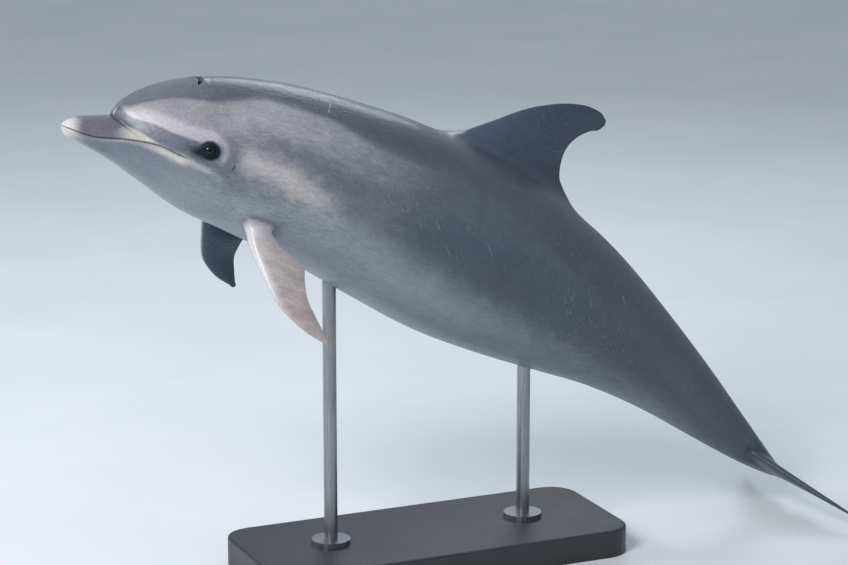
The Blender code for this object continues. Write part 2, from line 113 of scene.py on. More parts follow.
def bodyPoint(share, angle):
    # angle 0 is the right side, 90 the back, 180 the left side and -90 the belly
    share = np.asarray(share, float)
    across = np.cos(np.radians(angle))
    up = np.sin(np.radians(angle))
    blunt = np.sqrt(1 - (1 - np.clip(share / body["tipRound"], 0, 1)) ** 2)
    bluntChin = np.sqrt(1 - (1 - np.clip(share / body["chinRound"], 0, 1)) ** 2)
    level = smooth(body["sideLine"], share)
    lead = share - meltSlant(share) * (1 - np.abs(up))
    onBeak = lead < body["creaseAt"]
    back = np.where(onBeak, smooth(body["beakTop"], lead), smooth(body["backLine"], lead)) - level
    belly = level - smooth(body["bellyLine"], share)
    sharp = smooth(body["keelSharpness"], share)
    y = blunt * smooth(body["halfWidth"], share) * np.sign(across) * np.abs(across) ** sharp
    z = level + np.where(up > 0, blunt * back, bluntChin * belly) * up
    return np.stack([share + 0 * y, y, z], -1) * length


def bend(points):
    # carries points of the straight body onto its curved spine
    fine = np.linspace(0, 1, 801)
    pitch = np.radians(smooth(body["spinePitch"], fine))
    stride = length / 800
    x = np.concatenate([[0], np.cumsum((np.cos(pitch[1:]) + np.cos(pitch[:-1])) / 2 * stride)])
    z = np.concatenate([[0], np.cumsum((np.sin(pitch[1:]) + np.sin(pitch[:-1])) / -2 * stride)])
    share = points[..., 0] / length
    beyond = (share - np.clip(share, 0, 1)) * length
    tilt = np.interp(share, fine, pitch)
    bentX = np.interp(share, fine, x) + beyond * np.cos(tilt) + points[..., 2] * np.sin(tilt)
    bentZ = np.interp(share, fine, z) - beyond * np.sin(tilt) + points[..., 2] * np.cos(tilt)
    return np.stack([bentX, points[..., 1], bentZ], -1) + body["spineStart"]


# The skin's mesh: rows along the body, columns round it, finest about the lips and the eyes.
# A band is where it ends and how many rows or columns it has.
weave = {
    "tipRows": 14,
    "headRows": [
        (0.0475, 40), (0.1, 42), (0.118, 13), (0.127, 7), (0.1385, 9), (0.153, 11), (0.1765, 14)],
    "bodyRows": [
        (0.19, 2), (0.246, 14), (0.395, 28), (0.575, 36), (0.7, 22), (0.8, 16), (0.915, 20),
        (0.995, 16)],
    "neckAt": 0.18,
    "columns": [(-86, 8), (-56, 14), (-32, 22), (-8, 12), (8, 32), (56, 30), (77, 10), (90, 8)],
    "creaseRowsEnd": 0.1,
}


def bandMarks(start, bands):
    marks = [start]
    for end, count in bands:
        marks.extend(np.linspace(marks[-1], end, count + 1)[1:])
    return np.array(marks)


def creaseShare(up):
    # how far back the melon's edge lies, at each height up the side of the head
    low = np.full_like(up, body["creaseAt"])
    high = np.full_like(up, 0.0875)
    for _ in range(40):
        middle = (low + high) / 2
        short = middle - meltSlant(middle) * (1 - up) < body["creaseAt"]
        low = np.where(short, middle, low)
        high = np.where(short, high, middle)
    return high


def followCrease(mark, angle):
    # bends the head's rows so that one of them runs along the melon's edge
    up = np.sin(np.radians(angle))
    start = body["tipRound"]
    at = body["creaseAt"]
    end = weave["creaseRowsEnd"]
    crease = at + (creaseShare(np.clip(up, 0, 1)) - at) * (1 - step(0.0, 0.6, -up))
    front = start + (mark - start) * (crease - start) / (at - start)
    rear = crease + (mark - at) * (end - crease) / (end - at)
    return np.where((mark <= start) | (mark >= end), mark + 0 * up, np.where(mark < at, front, rear))


rightAngles = bandMarks(-90, weave["columns"])
headAngles = np.concatenate([rightAngles, 180 - rightAngles[-2:0:-1]])
bodyAngles = headAngles[::2]
tipMarks = body["tipRound"] * (1 - np.cos(np.radians(90 * np.arange(1, weave["tipRows"]) / weave["tipRows"])))
headMarks = np.concatenate([tipMarks, bandMarks(body["tipRound"], weave["headRows"])])
bodyMarks = bandMarks(weave["neckAt"], weave["bodyRows"])

places = []  # straight positions of the skin's vertices
notes = {name: [] for name in ("detail", "rise", "fin", "flipper", "turn", "blow")}
count = 0


def addPlaces(points, **given):
    global count
    points = np.asarray(points, float)
    ids = count + np.arange(int(np.prod(points.shape[:-1]))).reshape(points.shape[:-1])
    count += ids.size
    places.append(points.reshape(-1, 3))
    given = {"rise": 1.0, **given}
    for name, values in notes.items():
        values.append(np.broadcast_to(given.get(name, 0.0), ids.shape).astype(float).ravel())
    return ids


headShares = followCrease(headMarks[:, None], headAngles[None, :])
headIds = addPlaces(bodyPoint(headShares, headAngles[None, :]), detail=1.0,
                    rise=np.sin(np.radians(headAngles))[None, :])
bodyShares = bodyMarks[:, None] + 0 * bodyAngles[None, :]
bodyIds = addPlaces(bodyPoint(bodyShares, bodyAngles[None, :]), detail=1.0)
beakTip = addPlaces(np.array([[0, 0, body["sideLine"][0][1] * length]]), detail=1.0)[0]
tailEnd = addPlaces(np.array([[length, 0, 0]]))[0]
faces = []


def findPatch(marks, angles, shape, left=False):
    # the rows and columns between which a piece of the body makes room for a fin, an eye or the blowhole
    low, high = shape["columns"]
    columns = (180 - high, 180 - low) if left else (low, high)
    return tuple(int(np.argmin(np.abs(line - value)))
                 for line, ends in ((marks, shape["rows"]), (angles, columns)) for value in ends)


def gridFaces(ids, skip=()):
    rows, columns = ids.shape
    for i in range(rows - 1):
        for j in range(columns):
            if not any(a <= i < b and c <= j < d for a, b, c, d in skip):
                k = (j + 1) % columns
                faces.append((ids[i, j], ids[i, k], ids[i + 1, k], ids[i + 1, j]))


def fanFaces(ring, centre):
    for m in range(len(ring)):
        faces.append((ring[m], ring[(m + 1) % len(ring)], centre))


def walkRound(patch, columns):
    # the rim of a patch, from the middle of its front edge and round by its right side
    top, bottom, left, right = patch
    middle = (left + right) // 2
    walk = [(top, j) for j in range(middle, right)] + [(i, right) for i in range(top, bottom)]
    walk += [(bottom, j) for j in range(right, left, -1)] + [(i, left) for i in range(bottom, top, -1)]
    walk += [(top, j) for j in range(left, middle)]
    down, across = np.array(walk).T
    return down, across, across % columns


# Fins. A section is (leading edge a, b, trailing edge a, b, thickness) in the fin's own plane, in shares of
# the length. Rows and columns say which patch of the body a fin grows from.
flipperFrame = {
    "root": (0.2006, 0.0595, -0.0611),
    "along": (0.668, 0.509, -0.542),
    "across": (0.737, -0.352, 0.578),
}
finShapes = {
    "dorsal": {
        "rows": (0.395, 0.575), "plainRows": 6, "columns": (77, 103), "tip": (0.5592, 0.1895),
        "sections": [
            (0.4, 0.092, 0.566, 0.09, 0.02), (0.425, 0.1145, 0.5445, 0.1105, 0.017),
            (0.45, 0.1375, 0.536, 0.13, 0.0135), (0.476, 0.1625, 0.535, 0.147, 0.0105),
            (0.505, 0.183, 0.54, 0.161, 0.008), (0.53, 0.1945, 0.548, 0.1722, 0.006),
            (0.548, 0.1968, 0.556, 0.1785, 0.0042), (0.556, 0.1935, 0.559, 0.185, 0.003)]},
    "flipper": {
        "rows": (0.19, 0.246), "plainRows": 3, "columns": (-56, -32), "tip": (0.155, 0.0005),
        "sections": [
            (-0.016, 0.006, 0.000, 0.026, 0.018), (0.006, -0.005, 0.0215, 0.021, 0.016),
            (0.02, -0.012, 0.0365, 0.0203, 0.014), (0.042, -0.0182, 0.0545, 0.0258, 0.0122),
            (0.064, -0.0238, 0.069, 0.0294, 0.0096), (0.084, -0.0262, 0.084, 0.0192, 0.0072),
            (0.1045, -0.0235, 0.102, 0.0094, 0.0052), (0.128, -0.0163, 0.124, 0.0055, 0.0034),
            (0.1485, -0.0045, 0.147, 0.0025, 0.0018)]},
    "fluke": {
        "rows": (0.915, 0.995), "plainRows": 4, "columns": (-56, 56), "tip": (0.118, 1.0205),
        "sections": [
            (0.004, 0.9225, 0.004, 0.9965, 0.02), (0.014, 0.9315, 0.014, 1.0035, 0.0135),
            (0.03, 0.942, 0.028, 1.0075, 0.0105), (0.052, 0.9585, 0.048, 1.0065, 0.0085),
            (0.075, 0.9755, 0.07, 1.0055, 0.0065), (0.095, 0.992, 0.09, 1.0085, 0.0045),
            (0.11, 1.007, 0.106, 1.015, 0.003), (0.1165, 1.0155, 0.115, 1.019, 0.002)]},
}
finMesh = {
    "edge": 0.0007,  # half thickness kept next to a fin's edge
    "filletRings": 11,
    "ringsPerSection": 6,
    "tipRings": 4,
    "plainColumns": [
        (-90, 0), (-56, 3), (-32, 7), (0, 9), (56, 13), (77, 15), (90, 16), (103, 17), (124, 19), (180, 23),
        (212, 25), (236, 29), (270, 32)],  # where the solids' own columns run
    "softRings": 8,  # how far a root's edge is softened, in rows and rings
    "softRounds": 34,
    "rootNote": 0.2,  # what the flipper note has reached where the root's fillet ends
}


def finSection(section, turn, place):
    origin, along, across, normal = place
    leadA, leadB, trailA, trailB, thick = [value * length for value in section]
    chord = (1 - np.cos(turn)) / 2
    foil = 5 * (0.2969 * np.sqrt(chord) - 0.126 * chord - 0.3516 * chord ** 2 + 0.2843 * chord ** 3
                - 0.1036 * chord ** 4)
    half = thick * foil * np.sign(np.sin(turn)) + finMesh["edge"] * np.sin(turn)
    a = leadA + (trailA - leadA) * chord
    b = leadB + (trailB - leadB) * chord
    return origin + np.outer(a, along) + np.outer(b, across) + np.outer(half, normal)


def surfaceNormal(share, angle):
    nudge = 0.002
    along = bodyPoint(share + nudge, angle) - bodyPoint(share - nudge, angle)
    around = bodyPoint(share, angle + 1.0) - bodyPoint(share, angle - 1.0)
    return unit(np.cross(around, along))


def rimTurns(patch, shape, rows, columns, angles):
    # how far round the fin's section each vertex of its root's rim belongs, as in the solids
    marks, cells = np.array(finMesh["plainColumns"], float).T
    left, right = np.interp([bodyAngles[patch[2]], bodyAngles[patch[3] % len(bodyAngles)]], marks, cells)
    wide = right - left
    deep = shape["plainRows"]
    first, last = shape["rows"]
    down = (bodyMarks[rows] - first) / (last - first) * deep
    sideways = np.interp(angles, marks, cells) - (left + right) / 2
    onTop = rows == patch[0]
    onBottom = rows == patch[1]
    onRight = (columns == patch[3]) & ~onTop & ~onBottom
    walked = np.where(onRight, wide / 2 + down, 1.5 * wide + 2 * deep - down)
    walked = np.where(onTop, np.where(sideways < 0, 2 * (wide + deep) + sideways, sideways), walked)
    walked = np.where(onBottom, wide + deep - sideways, walked)
    return walked * math.pi / (wide + deep)


def growFin(kind, place, patch):
    # rings of vertices from the patch's rim, over the root's fillet and along the fin to its tip
    shape = finShapes[kind]
    rows, columns, wrapped = walkRound(patch, len(bodyAngles))
    angles = np.where(columns < len(bodyAngles), bodyAngles[wrapped], bodyAngles[wrapped] + 360)
    turn = rimTurns(patch, shape, rows, columns, angles)
    start = bodyPoint(bodyMarks[rows], angles)
    normals = surfaceNormal(bodyMarks[rows], angles)
    inner = finSection(shape["sections"][0], turn, place)
    outer = finSection(shape["sections"][1], turn, place)
    leave = inner - start
    leave -= normals * np.sum(leave * normals, axis=1)[:, None]
    arrive = outer - inner
    rings = [bodyIds[rows, wrapped]]
    rootRims.append(rings[0])
    flip = 1.0 if kind == "flipper" else 0.0
    for k in range(1, finMesh["filletRings"] + 1):
        t = k / (finMesh["filletRings"] + 1)
        ring = curve(t, start, leave, outer, arrive)
        rootNote = flip * t * finMesh["rootNote"]
        rings.append(addPlaces(ring, detail=(1 - t) ** 2, fin=t, flipper=rootNote, turn=turn))
    table = np.array(shape["sections"])
    last = len(table) - 1
    for at in np.linspace(1, last, (last - 1) * finMesh["ringsPerSection"] + 1):
        section = [float(smooth(list(enumerate(column)), at)) for column in table.T]
        out = finMesh["rootNote"] + (1 - finMesh["rootNote"]) * (at - 1) / (last - 1)
        rings.append(addPlaces(finSection(section, turn, place), fin=1.0, flipper=flip * out, turn=turn))
    origin, along, across, _ = place
    tip = origin + along * shape["tip"][0] * length + across * shape["tip"][1] * length
    end = finSection(shape["sections"][-1], turn, place)
    middle = end.mean(axis=0)
    for k in range(1, finMesh["tipRings"]):
        lean = math.radians(90 * k / finMesh["tipRings"])
        ring = middle + (end - middle) * math.cos(lean) + (tip - middle) * math.sin(lean)
        rings.append(addPlaces(ring, fin=1.0, flipper=flip, turn=turn))
    gridFaces(np.array(rings))
    fanFaces(rings[-1], addPlaces([tip], fin=1.0, flipper=flip)[0])


def mirrored(vector):
    return np.array(vector, float) * (1, -1, 1)


xAxis, yAxis, zAxis = np.eye(3)
beginning = np.zeros(3)
root, along, across = [np.array(flipperFrame[key]) for key in ("root", "along", "across")]
outward = unit(np.cross(across, along))
finPlaces = {
    "dorsal": (beginning, xAxis, zAxis, -yAxis),
    "flipperRight": (root * length, along, across, outward),
    "flipperLeft": (mirrored(root) * length, mirrored(along), mirrored(across), -mirrored(outward)),
    "flukeRight": (beginning, yAxis, xAxis, zAxis),
    "flukeLeft": (beginning, -yAxis, xAxis, -zAxis),
}
bodySkips = []
rootRims = []  # the skin's vertices round each fin's root
for name, place in finPlaces.items():
    kind = name.replace("Right", "").replace("Left", "")
    patch = findPatch(bodyMarks, bodyAngles, finShapes[kind], name.endswith("Left"))
    bodySkips.append(patch)
    growFin(kind, place, patch)
print("fins grown:", count, "vertices so far")

# Eyes: lids that close round the eyeball, with a pocket behind them for it to sit in.
eye = {
    "at": (0.1395, 0.0059),  # share of the length, and height above the body's own axis
    "radius": 0.019,
    "proud": 0.005,
    "rows": (0.127, 0.153),
    "columns": (-3, 19),
    "halfLong": 0.0158,  # of the opening between the lids
    "halfHigh": 0.0104,
    "droop": 7,  # degrees that the front corner hangs
    "lidRings": 17,
    "lidEasing": 1.6,  # how much the rings crowd together at the opening
    "leaves": 0.3,  # the share of the way over which the rings leave the plain head
    "lidSpread": 0.0075,
    "lidRim": 0.0007,
    "lidTaper": 0.22,  # how much the opening narrows towards its corners
    "foldDepth": 0.0011,  # a crease that runs round above and below the lids
    "foldAt": 0.0088,
    "foldWidth": 0.0022,
    "pocketRings": 9,
    "pocketEasing": 1.3,
    "pocketReach": 0.97,  # how far round the ball it goes, as a share of half a turn
    "hug": 0.0003,  # how much tighter its first ring is, so that the lids hug the ball
}


def outline(share):
    # the body's side line, its height above and below it, and its half width
    level, back, belly, wide = [smooth(body[line], share)
                                for line in ("sideLine", "backLine", "bellyLine", "halfWidth")]
    return level, back - level, level - belly, wide


def sidePoint(x, z, side):
    # the body's surface beside its upper flank, at a given place along and up
    x, z = np.asarray(x), np.asarray(z)
    level, back, belly, wide = outline(x / length)
    rise = z / length - level
    up = np.clip(rise / np.where(rise > 0, back, belly), -1, 1)
    return np.stack([x, side * wide * np.sqrt(1 - up ** 2) * length, z], -1)


def eyeFrame(side):
    # the ball's centre, the way it looks, the opening's long and high directions, and the opening's middle
    x, z = eye["at"][0] * length, eye["at"][1] * length
    ball = sidePoint(x, z, side) - np.array([0, side * (eye["radius"] - eye["proud"]), 0])
    nudge = 0.004
    normal = unit(np.cross(sidePoint(x + nudge, z, side) - sidePoint(x - nudge, z, side),
                           sidePoint(x, z + nudge, side) - sidePoint(x, z - nudge, side)))
    normal = normal * np.sign(normal[1] * side)
    level = unit(xAxis - normal * normal[0])
    upright = np.cross(level, normal)
    upright = upright * np.sign(upright[2])
    droop = math.radians(eye["droop"])
    long = level * math.cos(droop) + upright * math.sin(droop)
    high = upright * math.cos(droop) - level * math.sin(droop)
    return ball, normal, long, high, ball + normal * np.dot(sidePoint(x, z, side) - ball, normal)


def buildPocket(ball, axes, touch, spread, around):
    # the rings of the pocket that closes behind the ball
    rings = []
    for k in range(1, eye["pocketRings"] + 1):
        t = (k / eye["pocketRings"]) ** eye["pocketEasing"]
        lean = spread + (math.pi * eye["pocketReach"] - spread) * t
        ways = np.stack([np.sin(lean) * np.cos(around), np.sin(lean) * np.sin(around), np.cos(lean)], -1)
        rings.append(addPlaces(ball + (touch - eye["hug"] * (k == 1)) * ways @ axes))
    fanFaces(rings[-1], addPlaces([ball - axes[2] * touch])[0])
    return rings


def buildEye(side):
    ball, normal, long, high, middle = eyeFrame(side)
    depth = np.dot(middle - ball, normal)
    patch = findPatch(headMarks, headAngles, eye, side < 0)
    rows, _, wrapped = walkRound(patch, len(headAngles))
    rim = bodyPoint(headShares[rows, wrapped], headAngles[wrapped])
    p, q = (rim - middle) @ long, (rim - middle) @ high
    turn = np.arctan2(q / eye["halfHigh"], p / eye["halfLong"])
    lidP = eye["halfLong"] * np.cos(turn)
    lidQ = eye["halfHigh"] * np.sin(turn) * (1 - eye["lidTaper"] * np.cos(turn) ** 2)
    touch = eye["radius"] + eye["lidRim"]
    ballRise = np.sqrt(touch ** 2 - lidP ** 2 - lidQ ** 2) - depth
    lidBase = middle + np.outer(lidP, long) + np.outer(lidQ, high)
    lidSunk = (sidePoint(lidBase[:, 0], lidBase[:, 2], side) - lidBase) @ normal
    foldDepth = eye["foldDepth"] * (0.55 + 0.45 * np.sign(lidQ)) * np.abs(np.sin(turn)) ** 0.5
    rings = [headIds[rows, wrapped]]
    for k in range(1, eye["lidRings"] + 1):
        t = 1 - (1 - k / eye["lidRings"]) ** eye["lidEasing"]
        ringP = p * (1 - t) + lidP * t
        ringQ = q * (1 - t) + lidQ * t
        flat = middle + np.outer(ringP, long) + np.outer(ringQ, high)
        base = sidePoint(flat[:, 0], flat[:, 2], side)
        sunk = (base - flat) @ normal
        away = np.hypot(ringP - lidP, ringQ - lidQ)
        swell = (ballRise - lidSunk) * np.exp(-(away / eye["lidSpread"]) ** 2)
        fold = foldDepth * bump(away, eye["foldAt"], eye["foldWidth"])
        ring = flat + np.outer(sunk + swell - fold, normal)
        free = min(t / eye["leaves"], 1)
        ring = ring * free + base * (1 - free)
        rings.append(addPlaces(ring, detail=1 - step(0.5, 1.0, t)))
    spread = np.arctan2(np.hypot(lidP, lidQ), ballRise + depth)
    axes = np.stack([long, high, normal])
    rings += buildPocket(ball, axes, touch, spread, np.arctan2(lidQ, lidP))
    gridFaces(np.array(rings))
    return patch, ball, normal, long


eyes = {name: buildEye(side) for name, side in (("right", 1), ("left", -1))}

# Blowhole: a crescent slit with soft lips, its horns pointing forwards, a little left of the middle
blowhole = {
    "rows": (0.1166, 0.14),
    "columns": (81.9, 117.7),
    "at": (0.129, -0.0095),  # along, and to the left of the middle
    "halfSpan": 0.027,  # from its middle to each horn
    "curl": 0.012,  # how far forwards the horns reach
    "halfWide": 0.0062,
    "rings": 9,
    "easing": 1.5,
    "wallRings": 4,
    "narrows": 0.85,  # how much the slit closes towards its floor
    "lipRise": 0.0026,
    "lipDips": 0.6,  # by how much of its rise the lip dips again at its inner edge
    "depth": 0.015,
    "hornDepth": 0.25,  # depth at the horns, as a share of the middle's
}


def topPoint(x, y):
    # the body's surface on its back, at a given place along and across
    level, back, _, wide = outline(x / length)
    return np.stack([x, y, (level + back * np.sqrt(1 - (y / length / wide) ** 2)) * length], -1)


def closeSlit(bottom):
    # joins the slit's two walls along its floor, from horn to horn
    steps = len(bottom)
    for k in range(steps // 2):
        behind, before = steps // 4 - k, steps // 4 + k
        corners = [bottom[n % steps] for n in (behind, behind - 1, before + 1, before)]
        kept = [v for n, v in enumerate(corners) if v not in corners[:n]]
        if len(kept) > 2:
            faces.append(tuple(kept))


def buildBlowhole():
    patch = findPatch(headMarks, headAngles, blowhole)
    rows, _, wrapped = walkRound(patch, len(headAngles))
    rim = bodyPoint(headShares[rows, wrapped], headAngles[wrapped])
    steps = len(rows)
    turn = np.arange(steps) * 2 * math.pi / steps  # 0 is the middle of the front edge
    # the rim is walked from its front edge by the left side, and the crescent with it
    slitX = blowhole["at"][0] * length - blowhole["curl"] * np.sin(turn) ** 2
    slitY = blowhole["at"][1] * length - blowhole["halfSpan"] * np.sin(turn)
    offset = -blowhole["halfWide"] * np.cos(turn)
    rings = [headIds[rows, wrapped]]
    for k in range(1, blowhole["rings"] + 1):
        t = 1 - (1 - k / blowhole["rings"]) ** blowhole["easing"]
        x = rim[:, 0] * (1 - t) + (slitX + offset) * t
        y = rim[:, 1] * (1 - t) + slitY * t
        ring = topPoint(x, y)
        dip = 1 - blowhole["lipDips"] * step(0.9, 1.0, t)
        ring[:, 2] += blowhole["lipRise"] * step(0.2, 0.85, t) * dip
        rings.append(addPlaces(ring, detail=1 - t, blow=step(0.8, 1.0, t)))
    lip = blowhole["lipRise"] * (1 - blowhole["lipDips"])
    sunk = blowhole["depth"] * (blowhole["hornDepth"] + (1 - blowhole["hornDepth"]) * np.abs(np.cos(turn)))
    for k in range(1, blowhole["wallRings"] + 1):
        t = k / blowhole["wallRings"]
        ring = topPoint(slitX + offset * (1 - blowhole["narrows"] * t), slitY)
        ring[:, 2] += lip - sunk * t
        rings.append(addPlaces(ring, blow=1.0 + t))
    gridFaces(np.array(rings))
    closeSlit(rings[-1])
    return patch


blowPatch = buildBlowhole()
gridFaces(headIds, [eyes["right"][0], eyes["left"][0], blowPatch])
gridFaces(bodyIds, bodySkips)
neckRow, chestRow = headIds[-1], bodyIds[0]
for j in range(len(bodyAngles)):
    k = (j + 1) % len(bodyAngles)
    a, b, c = neckRow[2 * j], neckRow[2 * j + 1], neckRow[(2 * j + 2) % len(neckRow)]
    faces += [(a, b, chestRow[j]), (b, c, chestRow[k]), (b, chestRow[k], chestRow[j])]
fanFaces(headIds[0], beakTip)
fanFaces(bodyIds[-1], tailEnd)
straight = np.concatenate(places)
notes = {name: np.concatenate(values) for name, values in notes.items()}
print("skin woven:", len(straight), "vertices")


def softenRoots(points):
    # rounds off the line where each fin's root leaves the plain body
    pairs = np.array([(face[k], face[(k + 1) % len(face)]) for face in faces for k in range(len(face))])
    near, far = pairs[:, 0], pairs[:, 1]
    total = len(points)
    shared = np.maximum(np.bincount(near, minlength=total), 1)
    soft = np.zeros(total)
    soft[np.concatenate(rootRims)] = 1.0
    for _ in range(finMesh["softRings"]):
        grown = soft.copy()
        np.maximum.at(grown, near, soft[far] - 1 / finMesh["softRings"])
        np.maximum.at(grown, far, soft[near] - 1 / finMesh["softRings"])
        soft = grown
    soft = soft * soft * (3 - 2 * soft)
    for _ in range(finMesh["softRounds"]):
        means = np.stack([np.bincount(near, points[far, axis], total) / shared for axis in range(3)], -1)
        points = points + 0.5 * soft[:, None] * (means - points)
    return points


straight = softenRoots(straight)


def makeMesh(name, points, faces):
    # a mesh with all its faces outwards
    mesh = bpy.data.meshes.new(name)
    mesh.from_pydata(np.asarray(points).tolist(), [], [tuple(int(v) for v in face) for face in faces])
    shaped = bmesh.new()
    shaped.from_mesh(mesh)
    bmesh.ops.recalc_face_normals(shaped, faces=shaped.faces)
    shaped.to_mesh(mesh)
    shaped.free()
    mesh.shade_smooth()
    return mesh


def link(name, data):
    made = bpy.data.objects.new(name, data)
    bpy.context.scene.collection.objects.link(made)
    return made


skinMesh = makeMesh("skin", straight, faces)
normals = np.zeros(len(straight) * 3, np.float32)
skinMesh.vertex_normals.foreach_get("vector", normals)
normals = normals.reshape(-1, 3).astype(float)

share = straight[:, 0] / length
high = straight[:, 2] / length
lipHeight = straight[:, 2] - smooth(body["sideLine"], share) * length
upTurn = np.clip(notes["rise"], 0, 1)
lead = share - meltSlant(share) * (1 - upTurn)
creaseGap = (lead - body["creaseAt"]) * length
eyeGap = np.hypot(share - eye["at"][0], high - eye["at"][1]) * length

# Soft relief of the skin, in metres out of the plain surface
relief = {
    "mouthDepth": 0.0026, "mouthWidth": 0.0019,
    "upperLip": 0.0011, "lowerLip": 0.00143, "lipAt": 0.0046, "lipWidth": 0.003,
    "gapeFade": (0.114, 0.1265),
    "creaseDepth": 0.002, "creaseAt": 0.0004, "creaseWidth": 0.0036,
    # soft folds: height, then middle and spread up the side, and middle and spread along the length
    "foldsByEye": [(0.003, 0.0235, 0.008, 0.132, 0.022),  # brow
                   (-0.0026, 0.006, 0.011, 0.118, 0.01),  # hollow in front of the eye
                   (-0.0022, -0.009, 0.005, 0.1215, 0.005)],  # corner of the mouth
    "folds": [(-0.0034, -0.013, 0.015, 0.178, 0.018),  # neck
              (0.0022, -0.03, 0.016, 0.145, 0.022)],  # cheek
    "lidsReach": 0.034,  # the folds by the eye die away nearer to it than this
    "earAt": (0.1642, -0.0038), "earDepth": 0.0018, "earSize": 0.0022,
    "slitDepth": 0.004, "slitWidth": 0.0034, "slitEnds": (0.64, 0.648, 0.683, 0.69),
    "ventAt": 0.704, "ventSpread": 0.0036,
    "navelDepth": 0.0022, "navelWidth": 0.006, "navelAt": 0.47, "navelSpread": 0.003,
}


def fades(enter, full, fade, gone):
    # along the length: 0 up to enter, 1 from full to fade, and 0 again from gone on
    return step(enter, full, share) * (1 - step(fade, gone, share))


mouthOn = (1 - step(*relief["gapeFade"], share)) * (share < 0.13)
lipOn = mouthOn * step(0, 0.01, share)
rise = -relief["mouthDepth"] * bump(lipHeight, 0, relief["mouthWidth"]) * mouthOn
rise += relief["upperLip"] * bump(lipHeight, relief["lipAt"], relief["lipWidth"]) * lipOn
rise += relief["lowerLip"] * bump(lipHeight, -relief["lipAt"], relief["lipWidth"]) * lipOn
creaseOn = step(0.02, 0.35, upTurn) * (share < 0.1)
rise -= relief["creaseDepth"] * bump(creaseGap, relief["creaseAt"], relief["creaseWidth"]) * creaseOn
away = 1 - np.exp(-(eyeGap / relief["lidsReach"]) ** 4)
for kind, strength in (("foldsByEye", away), ("folds", 1.0)):
    for height, upAt, upSpread, alongAt, alongSpread in relief[kind]:
        rise += height * bump(high, upAt, upSpread) * bump(share, alongAt, alongSpread) * strength
earGap = np.hypot(share - relief["earAt"][0], high - relief["earAt"][1]) * length
rise -= relief["earDepth"] * bump(earGap, 0, relief["earSize"])
under = (straight[:, 2] < 0) & (share > 0.3)
midline = bump(straight[:, 1], 0, relief["slitWidth"]) * under
slit = midline * fades(*relief["slitEnds"])
vent = midline * bump(share, relief["ventAt"], relief["ventSpread"])
navel = bump(straight[:, 1], 0, relief["navelWidth"]) * under
navel *= bump(share, relief["navelAt"], relief["navelSpread"])
rise -= relief["slitDepth"] * (slit + vent) + relief["navelDepth"] * navel
settled = bend(straight + normals * (rise * notes["detail"])[:, None])
skinMesh.vertices.foreach_set("co", settled.astype(np.float32).ravel())
skinMesh.update()
skin = link("dolphin_skin", skinMesh)
print("skin bent along the spine:", sum(len(face) - 2 for face in faces), "triangles")

